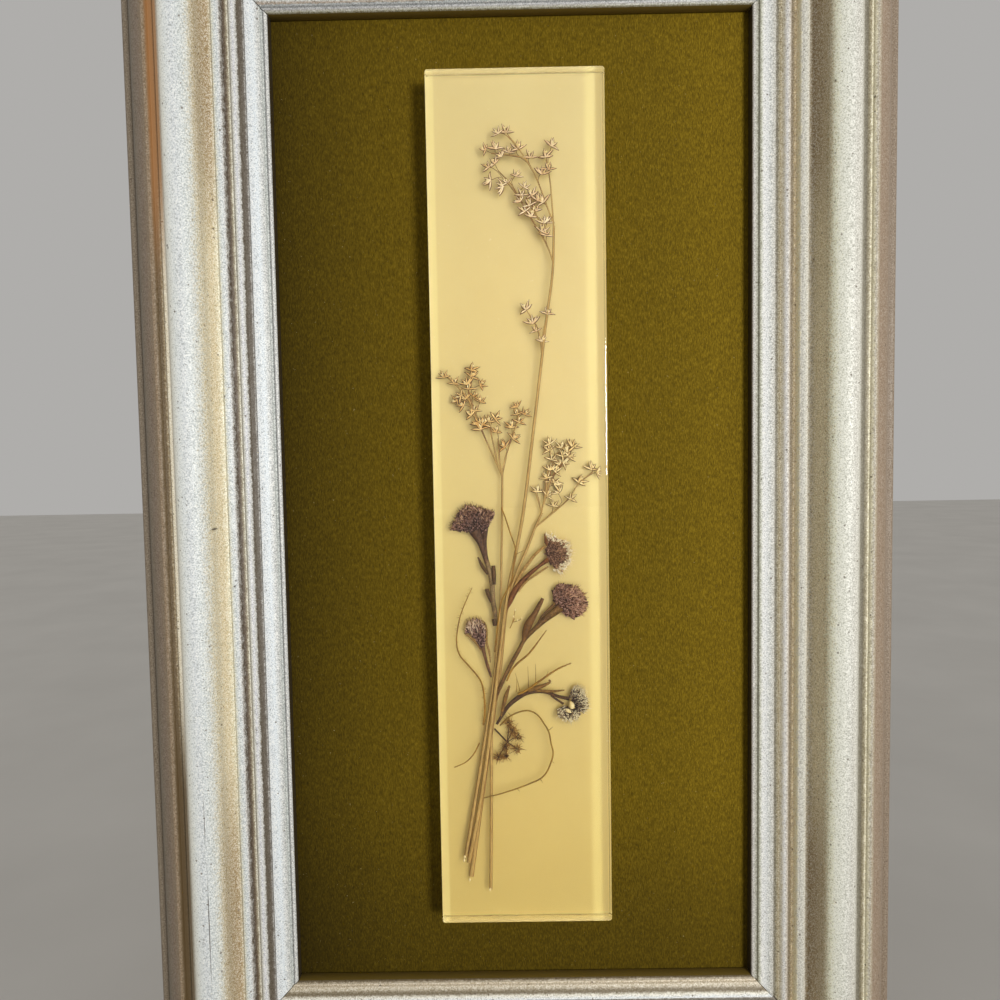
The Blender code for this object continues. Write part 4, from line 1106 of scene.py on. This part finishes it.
# Cat's-foot flowers: five pressed heads, each a close clump of short curled bracts and florets with fine
# hairs at its rim, on its own downy stem with small blunt leaves. They go from dark plum at the base to
# whitish or rose tips.
def within(place, outline):
    """True when a place is inside an outline of corners."""
    crossings = 0
    for start, end in zip(outline, outline[1:] + outline[:1]):
        if (start[1] > place[1]) != (end[1] > place[1]):
            at = start[0] + (place[1] - start[1]) / (end[1] - start[1]) * (end[0] - start[0])
            crossings += at > place[0]
    return crossings % 2 == 1


def fill_head(outline, base, count, length, half_width, curl, steps, chance, depth=(-0.75, 0.75)):
    """Short curled bits that fill a head and point away from its base, sorted in dark, middle and light ones,
    and fine hairs at the rim. steps are the two shares of the way out at which the darker tones end."""
    reach = max((Vector(corner) - Vector(base)).length for corner in outline)
    tones = ([], [], [])
    hairs = []
    columns = [corner[0] for corner in outline]
    rows = [corner[1] for corner in outline]
    while sum(map(len, tones)) < count:
        place = Vector((chance.uniform(min(columns), max(columns)), chance.uniform(min(rows), max(rows))))
        if not within(place, outline):
            continue
        away = place - Vector(base)
        share = away.length / reach
        heading = math.atan2(away.y, away.x) + chance.gauss(0, 0.45)
        bend = chance.uniform(-curl, curl)
        size = length * chance.uniform(0.7, 1.25)
        value = share + chance.gauss(0, 0.2)
        tone = (value > steps[0]) + (value > steps[1])
        rise = chance.uniform(*depth) + 0.25 * tone
        half = half_width * chance.uniform(0.7, 1.25)
        point = place - Vector((math.cos(heading), math.sin(heading))) * size / 2
        bit = []
        for part, fullness in enumerate((0.6, 1.0, 0.95, 0.3)):
            bit.append((point.x, point.y, rise * (0.8 + 0.07 * part), half * fullness))
            point = point + Vector((math.cos(heading), math.sin(heading))) * size / 3
            heading += bend / 3
        tones[tone].append(bit)
        if share > 0.75:
            stray = place + away.normalized() * chance.uniform(0.7, 1.5) + Vector(
                (chance.uniform(-0.5, 0.5), chance.uniform(-0.5, 0.5))
            )
            hairs.append([(place.x, place.y, rise - 0.3, 0.08), (stray.x, stray.y, rise - 0.3, 0.045)])
    return tones, hairs


def downy_hairs(points, length, spacing, chance, half_width=0.03):
    """Short fine hairs that stand out from both sides of a stem."""
    route = smooth_route(points, 8)
    hairs = []
    travelled = 0.0
    for before, after in zip(route, route[1:]):
        travelled += (after - before).length
        while travelled > spacing:
            travelled -= spacing
            across = Vector((before.y - after.y, after.x - before.x)).normalized() * chance.choice((-1, 1))
            tip = before + across * length * chance.uniform(0.5, 1.1) + (
                after - before
            ) * chance.uniform(-0.5, 0.5)
            rise = chance.uniform(-0.2, 0.2)
            hairs.append([(before.x, before.y, 0, half_width), (tip.x, tip.y, rise, half_width * 0.4)])
    return hairs


def grow_flower(
    node_name, fibres, heads, head_tones, down_colour, seed, down=(
        1.0, 0.9, 0.4, 0.0
    ), grains=(), beds=((0, 0),)
):
    """A cat's-foot. fibres are stems and leaves, as (dark, light, edge, [(points, widths, rise)]). A head is
    the arguments of fill_head, and head_tones are the pairs of its dark, middle and light bits and its hairs,
    each as much felted as down says. beds names the heads with a close layer of broader bits underneath, and
    its tone."""
    chance = random.Random(seed)
    layer = layer_of(node_name)
    parts = []
    finishes = [
        fibre_material(f"{node_name}_tone_{number}", *pair, 1500.0, 0.75, felted, down_colour)
        for number, (pair, felted) in enumerate(zip(head_tones, down))
    ]
    for number, (dark, light, edge, lines) in enumerate(fibres):
        cores = [stem_strand(points, widths, rise) for points, widths, rise in lines]
        body = draw_strands(f"{node_name}_fibre_{number}", cores, layer, 0.5)
        body.data.materials.append(
            fibre_material(f"{node_name}_fibre_{number}", dark, light, down=0.5, down_colour=light)
        )
        outer = [strand for core in cores for strand in stem_edges(core, 0.12, 0.03)]
        outer += [hair for points, widths, rise in lines for hair in downy_hairs(points, 0.9, 0.6, chance)]
        rim = draw_strands(f"{node_name}_edge_{number}", outer, layer, 0.5)
        rim.data.materials.append(fibre_material(f"{node_name}_edge_{number}", edge, dark))
        parts += [body, rim]
    for number, head in enumerate(heads):
        tones, hairs = fill_head(*head, chance)
        for strands, finish in zip((*tones, hairs), finishes):
            if strands:
                clump = draw_strands(f"{node_name}_head_{number}", strands, layer, 0.7)
                clump.data.materials.append(finish)
                parts.append(clump)
    for number, tone in beds:
        outline, base, count, length, half_width = heads[number][:5]
        bed = fill_head(
            outline, base, count, length * 1.2, half_width * 2.0, 0.6, (9, 9), chance, (-0.9, -0.35)
        )[0][0]
        under = draw_strands(f"{node_name}_bed_{number}", bed, layer, 0.4)
        under.data.materials.append(finishes[tone])
        parts.append(under)
    if grains:
        glossy = draw_strands(node_name + "_grains", grains, layer, 0.7)
        glossy.data.materials.append(seed_material)
        parts.append(glossy)
    flower = join_pieces("visual_" + node_name, parts)
    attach(flower, "root")
    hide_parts(node_name)


PLUM = (50, 24, 16)
grow_flower(
    "upper_left_flower",
    fibres=[
        (PLUM, (112, 78, 52), PLUM, [
            ([(-12.8, -5.6), (-11.2, -9), (-10, -13), (-9.4, -15.4)], (3.6, 2.1, 1.6, 1.4), 0.0),
            ([(-9.7, -5.2), (-10, -9), (-9.6, -13)], (1.6, 1.2, 0.9), 0.2),
        ]),
        ((110, 86, 52), (152, 126, 82), (76, 52, 28), [
            (
                [(-9.5, -14.8), (-8.6, -18.3), (-8, -21.5), (-7.8, -26.7), (-7.2, -31), (-7, -34.5)],
                (1.4, 1.5, 1.5, 1.4, 0.9), 0.0,
            ),
        ]),
        ((62, 38, 12), (104, 72, 30), (44, 26, 8), [
            ([(-12.1, -13.6), (-10.8, -16.3), (-9.1, -18.8)], (0.4, 1.0, 0.8), 0.3),
            ([(-7.5, -16.2), (-7.4, -19.1), (-7.3, -22)], (1.1, 1.3, 0.9), 0.4),
            ([(-9.6, -23.3), (-9.1, -25.1), (-8.2, -27.4)], (1.2, 1.2, 0.8), 0.3),
            ([(-7.6, -32.5), (-7.2, -34.6)], (1.3, 1.2), 0.2),
        ]),
    ],
    heads=[(
        [(-20, -5.2), (-19, -3), (-17.6, -0.2), (-15, 2), (-12.1, 1.3), (-9.6, 0.5), (-6.9, -0.4),
         (-7.5, -2), (-9.2, -5.4),
         (-11.6, -7), (-14.1, -5.9), (-17.9, -5.4)],
        (-11.6, -7.2), 520, 1.15, 0.14, 1.0, (0.64, 0.98),
    )],
    head_tones=(
        (PLUM, (84, 50, 34)), ((104, 64, 46), (142, 98, 74)), ((186, 142, 108), (230, 194, 158)),
        ((92, 60, 36), (146, 108, 68)),
    ),
    down_colour=(178, 142, 132),
    seed=21,
)
grow_flower(
    "white_tipped_flower",
    fibres=[
        ((88, 44, 10), (140, 86, 28), (62, 32, 6), [
            (
                [
                    (9.2, -14.6), (6.5, -16.5), (3.6, -18.8), (0.7, -21.6), (-1.4, -24.6), (-2.7, -27.4),
                    (-4.1, -30.5),
                ],
                (1.5, 0.9, 1.2, 1.4, 1.8, 1.5, 0.3), 0.0,
            ),
            ([(8.9, -10.3), (8.4, -8.7), (8.1, -6.8)], (0.9, 0.8, 0.2), 0.5),
        ]),
        ((160, 120, 56), (196, 158, 88), (106, 70, 22), [
            (
                [(8.2, -10.6), (5.5, -12.8), (2.9, -15.9), (0.8, -18.9), (-0.9, -22.6), (-1.9, -25.5)],
                (0.7, 0.8, 1.0, 1.0, 0.8), -0.2,
            ),
            ([(9.1, -16.8), (5.2, -19.3), (2, -21.6), (-0.1, -24.4)], (0.4, 0.6, 0.6, 0.5), -0.2),
        ]),
    ],
    heads=[
        ([(8.6, -9), (11.4, -8.4), (14.4, -11), (15.3, -13.6), (14.3, -16.2), (11.6, -17.3), (9.6, -15.8),
          (8.6, -13.4)],
         (8.7, -13), 230, 1.3, 0.18, 0.7, (0.62, 1.5)),
        ([(8.5, -6.7), (10.4, -6.8), (13.4, -8.5), (15.3, -9.4), (16.3, -12), (16.3, -14.5),
          (15.1, -16.9), (13.4, -18.7), (11.9, -19),
          (10.2, -17.5), (12, -16.6), (14.2, -15.4), (14.9, -13), (14, -11.2), (11.8, -9.2), (8.9, -8.4)],
         (9.5, -13), 190, 0.85, 0.27, 1.4, (0.15, 0.6)),
    ],
    head_tones=(
        ((80, 44, 22), (108, 68, 40)), ((142, 100, 68), (180, 138, 98)), ((238, 220, 176), (255, 246, 216)),
        ((214, 188, 132), (240, 222, 168)),
    ),
    down_colour=(176, 136, 112),
    seed=22,
)
grow_flower(
    "rose_flower",
    fibres=[
        ((86, 56, 18), (136, 98, 42), (54, 32, 8), [
            ([(12.8, -29.2), (8.1, -32.7), (5, -35.5), (1.5, -39.1), (0.1, -41.7), (-2.8, -46.8),
              (-5.7, -52.7), (-7.8, -57.8)],
             (2.6, 1.7, 1.2, 1.1, 1.2, 1.1, 0.9), 0.0),
            ([(11.6, -27.6), (8.7, -30.2), (6.7, -32.3), (5.3, -34.8)], (0.9, 0.7, 0.6, 0.5), 0.1),
        ]),
        ((98, 62, 16), (126, 86, 32), (62, 38, 8), [
            (
                [
                    (7.3, -26.4), (6.4, -28.1), (5, -30.7), (3.6, -33), (2.7, -34.6), (1.9, -37),
                    (1.2, -39.4),
                ],
                (0.9, 1.3, 1.5, 2.2, 2.5, 2.1, 0.9), 0.3,
            ),
        ]),
    ],
    heads=[(
        [(12.1, -22.4), (14.4, -22.8), (17.2, -23.1), (19.3, -24.8), (20.5, -27.6), (20.2, -29.8),
         (18.8, -31.6), (16.8, -32.7),
         (14.3, -31.8), (12.6, -30), (11.2, -28.5), (10.6, -26.5), (10.6, -24.4)],
        (11.6, -29.3), 430, 1.25, 0.2, 2.6, (0.45, 0.92),
    )],
    head_tones=(
        ((82, 46, 26), (110, 68, 46)), ((134, 88, 62), (164, 116, 88)), ((186, 142, 112), (216, 176, 144)),
        ((146, 108, 66), (186, 148, 96)),
    ),
    down_colour=(186, 148, 134),
    seed=23,
)
grow_flower(
    "lower_left_flower",
    fibres=[
        ((76, 36, 18), (124, 84, 46), (56, 26, 12), [
            ([(-11.2, -41), (-10.4, -44.5), (-9.6, -47.5), (-8.7, -50.5)], (1.2, 0.8, 0.9, 0.4), 0.0),
        ]),
        ((144, 106, 48), (184, 146, 78), (108, 72, 28), [
            (
                [(-11, -33), (-10.1, -34.4), (-9.8, -36.7), (-9.9, -39.8), (-9.2, -42.7), (-8.9, -46)],
                (0.2, 0.4, 0.5, 0.6, 0.6, 0.2), -0.2,
            ),
            ([(-16.6, -36.8), (-15, -38), (-13.2, -39.8), (-11.6, -42.2)], (0.3, 0.5, 0.6, 0.4), -0.2),
        ]),
    ],
    heads=[(
        [(-16.4, -36.4), (-15.8, -34.1), (-14.9, -33), (-13.2, -32.6), (-11.5, -32.9), (-10.6, -34.2),
         (-10.2, -36.4), (-10.4, -38.7),
         (-10.8, -41.5), (-11.7, -41.5), (-13.1, -39), (-14.7, -37.3)],
        (-11.3, -42.5), 230, 1.1, 0.14, 0.8, (0.68, 0.86),
    )],
    head_tones=(
        ((62, 22, 18), (88, 42, 32)), ((118, 80, 58), (156, 116, 86)), ((208, 176, 146), (240, 218, 190)),
        ((146, 112, 66), (194, 160, 104)),
    ),
    down_colour=(196, 160, 148),
    seed=24,
)
grow_flower(
    "speckled_flower",
    fibres=[
        ((56, 32, 12), (100, 64, 26), (40, 20, 8), [
            ([(15, -57.4), (11.7, -56.7), (8.6, -55.5), (5.5, -54.9), (1.9, -55.4), (-0.7, -56.9),
              (-3.5, -59.2), (-5.3, -61.8), (-7.3, -65)],
             (1.1, 0.9, 0.9, 1.2, 1.4, 1.4, 1.2, 1.0, 0.7), 0.0),
            ([(13.2, -59), (11.1, -57.6), (9.3, -56.3)], (0.6, 0.6, 0.4), 0.0),
        ]),
        ((110, 74, 20), (150, 110, 42), (74, 48, 12), [
            (
                [(2.4, -54.7), (4.7, -53.9), (7, -53.2), (8.8, -52.4), (9.2, -51.8), (8.7, -51.5)],
                (1.0, 1.4, 1.1, 0.7, 0.5, 0.4), 0.3,
            ),
            ([(5, -54.7), (7.5, -54.9), (10, -55), (13.5, -54.7)], (0.6, 0.9, 0.8, 0.3), 0.3),
            ([(-5.9, -62.4), (-5.2, -59.6), (-4.4, -56.4), (-3.2, -53)], (0.6, 1.0, 1.3, 0.5), 0.3),
        ]),
    ],
    heads=[
        ([(15.7, -54.6), (17.1, -53.5), (19.2, -54.4), (20.4, -57.7), (20.6, -60.3), (19.2, -61.8),
          (17.3, -61), (16, -58.8), (15.1, -56.7)],
         (14.6, -59.3), 250, 0.7, 0.17, 1.4, (0.6, 0.74)),
        ([(11.3, -60.7), (12.8, -59.9), (15.1, -60.1), (17.3, -60.5), (18.3, -62), (17.4, -63.6),
          (15.6, -64.4), (13, -64), (11.6, -62.7)],
         (14.8, -59.4), 190, 0.7, 0.17, 1.4, (0.5, 0.66)),
    ],
    head_tones=(
        ((34, 12, 10), (58, 28, 20)), ((116, 90, 62), (176, 152, 112)), ((218, 204, 164), (246, 238, 206)),
        ((208, 190, 140), (238, 224, 178)),
    ),
    down_colour=(226, 212, 180),
    seed=25,
    down=(0.0, 0.7, 0.3, 0.0),
    beds=((0, 1), (1, 1)),
    grains=[
        [
            (15.3, -58.1, 0.9, 0.3), (15.4, -58.6, 1.1, 0.9), (15.8, -59.8, 1.1, 1.0),
            (15.9, -60.3, 0.9, 0.3),
        ],
        [(13.8, -60.4, 0.9, 0.2), (14.1, -60.6, 1.1, 0.6), (15, -61.2, 1.1, 0.6), (15.4, -61.5, 0.9, 0.2)],
    ],
)

# Tendrils and twigs: thin golden-brown runners and twigs, some bare with small spurs and some downy with fine
# hairs.
golden = fibre_material("golden_tendril", (116, 78, 4), (176, 130, 22), 1400.0, 0.55)
olive_brown = fibre_material("olive_tendril", (112, 82, 8), (164, 124, 24), 1400.0, 0.55)
tendrils = {
    "golden_tendril": (
        [(-4.8, 1.4), (-3.6, -1.8), (-2.2, -6.5), (-0.9, -10.4), (-0.7, -12.8), (-1.3, -15.9),
         (-2.1, -21.1), (-4, -24.5),
         (-5.1, -26.9), (-6, -31), (-7.5, -42.5)],
        (0.45, 0.42, 0.42, 0.5), 0.35, golden, [((-0.7, -12.8), (1.9, -11.6))],
    ),
    "left_tendril": (
        [(-14, -22.8), (-15.6, -26.1), (-17.7, -31.2), (-18.8, -36.3), (-19, -40), (-18.1, -43.4),
         (-15.2, -46.9), (-12.1, -50.9),
         (-11.1, -54.6), (-10.8, -60.4), (-11.3, -65)],
        (0.25, 0.42, 0.5, 0.55, 0.7), 1.0, golden, [],
    ),
    "short_tendril": (
        [(-12.6, -70.5), (-14.5, -74), (-17, -76.5), (-20.5, -78)], (0.5, 0.3), 0.3, golden, []
    ),
    "loop_tendril": (
        [(-6.3, -65.2), (-3.8, -62.8), (-1, -61.3), (2.3, -60.7), (5.1, -62), (7.1, -64.8), (8.6, -67.6),
         (9.2, -71.1), (9.8, -74.2),
         (8.8, -77.6), (7.6, -80.1), (5.7, -82), (2.3, -83.5), (-1.7, -85), (-6.6, -86.5), (-11.6, -87.7)],
        (0.55, 0.5, 0.55, 0.5, 0.4), 0.2, olive_brown,
        [
            ((8.4, -67), (9.8, -65.8)), ((9, -76.4), (10.2, -77.2)), ((5.7, -82), (6.5, -83.3)),
            ((-1.4, -84.9), (-0.6, -86)), ((-3, -62.2), (-3.9, -61.1)),
        ],
    ),
    "smooth_twig": (
        [(8.2, -36.1), (5.5, -39.8), (2.6, -43.4), (-0.5, -45.9), (-2.5, -48.2), (-4, -51.5)],
        (0.3, 0.6, 0.7, 0.6), 0.2, golden, [],
    ),
    "feathery_twig": (
        [(15.5, -46.3), (11.3, -48.1), (7, -50.9), (2.2, -54.3), (-0.7, -55.6)],
        (0.35, 0.6, 0.75, 0.8), 0.5, golden,
        [
            ((4.7, -52.3), (4.8, -46.3)), ((2.5, -53.6), (2.4, -47.1)), ((-1.2, -55), (-1, -50.6)),
            ((-0.1, -54.6), (-1.4, -49.1)), ((7.8, -50.4), (8.6, -48.6)),
        ],
    ),
}
for seed, (name, (points, widths, down, finish, spurs)) in enumerate(tendrils.items(), start=31):
    chance = random.Random(seed)
    strands = [stem_strand(points, widths)] + downy_hairs(points, down, 0.45, chance, 0.06)
    for foot, tip in spurs:
        strands.append([
            (*foot, 0, 0.15), ((foot[0] + tip[0]) / 2 + 0.15, (foot[1] + tip[1]) / 2, 0, 0.1),
            (*tip, 0, 0.05),
        ])
    lift = 2.2 if name == "golden_tendril" else 0.0
    tendril = draw_strands("visual_" + name, strands, layer_of(name) + lift, 0.8)
    tendril.data.materials.append(finish)
    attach(tendril, "root")
    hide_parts(name)

# Small fruiting heads: an umbel of mossy brown clumps on forked stalks, and a tiny golden sprig with seed
# dots.
CLUMP_RADIUS = 1.15
umbel_edge = fibre_material("mossy_brown", (104, 66, 18), (160, 114, 44), 1200.0, 0.8)
umbel_heart = fibre_material("dark_umbel_heart", (48, 24, 12), (86, 50, 24), 1200.0, 0.8)
chance = random.Random(41)
layer = layer_of("brown_umbel")
fork = (-4.2, -70.8)
hearts = [stem_strand([(-8, -66.6), (-6, -68.8), (-4, -71)], (0.5, 0.5))]
moss = []
for tip in (
    (-2.5, -67.2), (-0.9, -68.9), (-4.5, -72.4), (-1.1, -73), (-4.7, -75.1), (-7, -75.5), (-3.4, -64.8)
):
    hearts.append([(*fork, 0, 0.16), (*tip, 0, 0.14)])
    outline = []
    for corner in range(8):
        turn = math.tau * corner / 8
        outline.append((tip[0] + math.cos(turn) * CLUMP_RADIUS, tip[1] + math.sin(turn) * CLUMP_RADIUS))
    (dark, middle, light), hairs = fill_head(outline, tip, 70, 0.6, 0.1, 1.5, (0.5, 2.0), chance)
    hearts += dark
    moss += middle + light + hairs
umbel_parts = []
for strands, finish in ((hearts, umbel_heart), (moss, umbel_edge)):
    drawn = draw_strands("umbel_part", strands, layer, 0.7)
    drawn.data.materials.append(finish)
    umbel_parts.append(drawn)
umbel = join_pieces("visual_brown_umbel", umbel_parts)
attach(umbel, "root")
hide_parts("brown_umbel")

sprig_strands = [stem_strand([(-2.8, -35.5), (-2, -33.8), (-1.3, -32.4)], (0.35, 0.25))]
sprig_strands += [
    stem_strand([(-2.1, -34), (-1.6, -32), (-1.1, -29.8)], (0.25, 0.2)),
    stem_strand([(-1.9, -33.6), (0, -33.1), (0.8, -32.4)], (0.25, 0.2)),
]
sprig = draw_strands("visual_golden_sprig", sprig_strands, layer_of("golden_sprig"), 0.8)
sprig.data.materials.append(golden)
dots = []
for x, z in ((-1.1, -29.8), (0.8, -32.4), (-1.7, -31.8), (-0.4, -32.9)):
    dots.append([(x, z - 0.35, 0.2, 0.1), (x, z, 0.3, 0.3), (x, z + 0.35, 0.2, 0.1)])
sprig_seeds = draw_strands("sprig_seeds", dots, layer_of("golden_sprig"), 0.8)
sprig_seeds.data.materials.append(seed_material)
sprig = join_pieces("visual_golden_sprig", [sprig, sprig_seeds])
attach(sprig, "root")
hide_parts("golden_sprig")

# Light that enters the resin is bent towards its back. So the light from the right reaches all outside the
# resin straight, and a broader one, at the bent angle, lights only the backing and the flowers inside it.
inner_light = add_area_light(
    "light_inside_resin", (0.304, -0.951, 0.062), 0.9, 0.8, 4.1, (1.0, 0.985, 0.95)
)
inside = [backing] + [piece for piece in bpy.data.objects if piece.name.startswith("visual_")]
lit_inside = bpy.data.collections.new("inside_the_resin")
not_lit_outside = bpy.data.collections.new("reached_through_the_resin")
for piece in inside:
    lit_inside.objects.link(piece)
    not_lit_outside.objects.link(piece)
not_lit_outside.objects.link(floor)
for member in not_lit_outside.collection_objects:
    member.light_linking.link_state = "EXCLUDE"
inner_light.light_linking.receiver_collection = lit_inside
inner_light.light_linking.blocker_collection = lit_inside
key_light.light_linking.receiver_collection = not_lit_outside
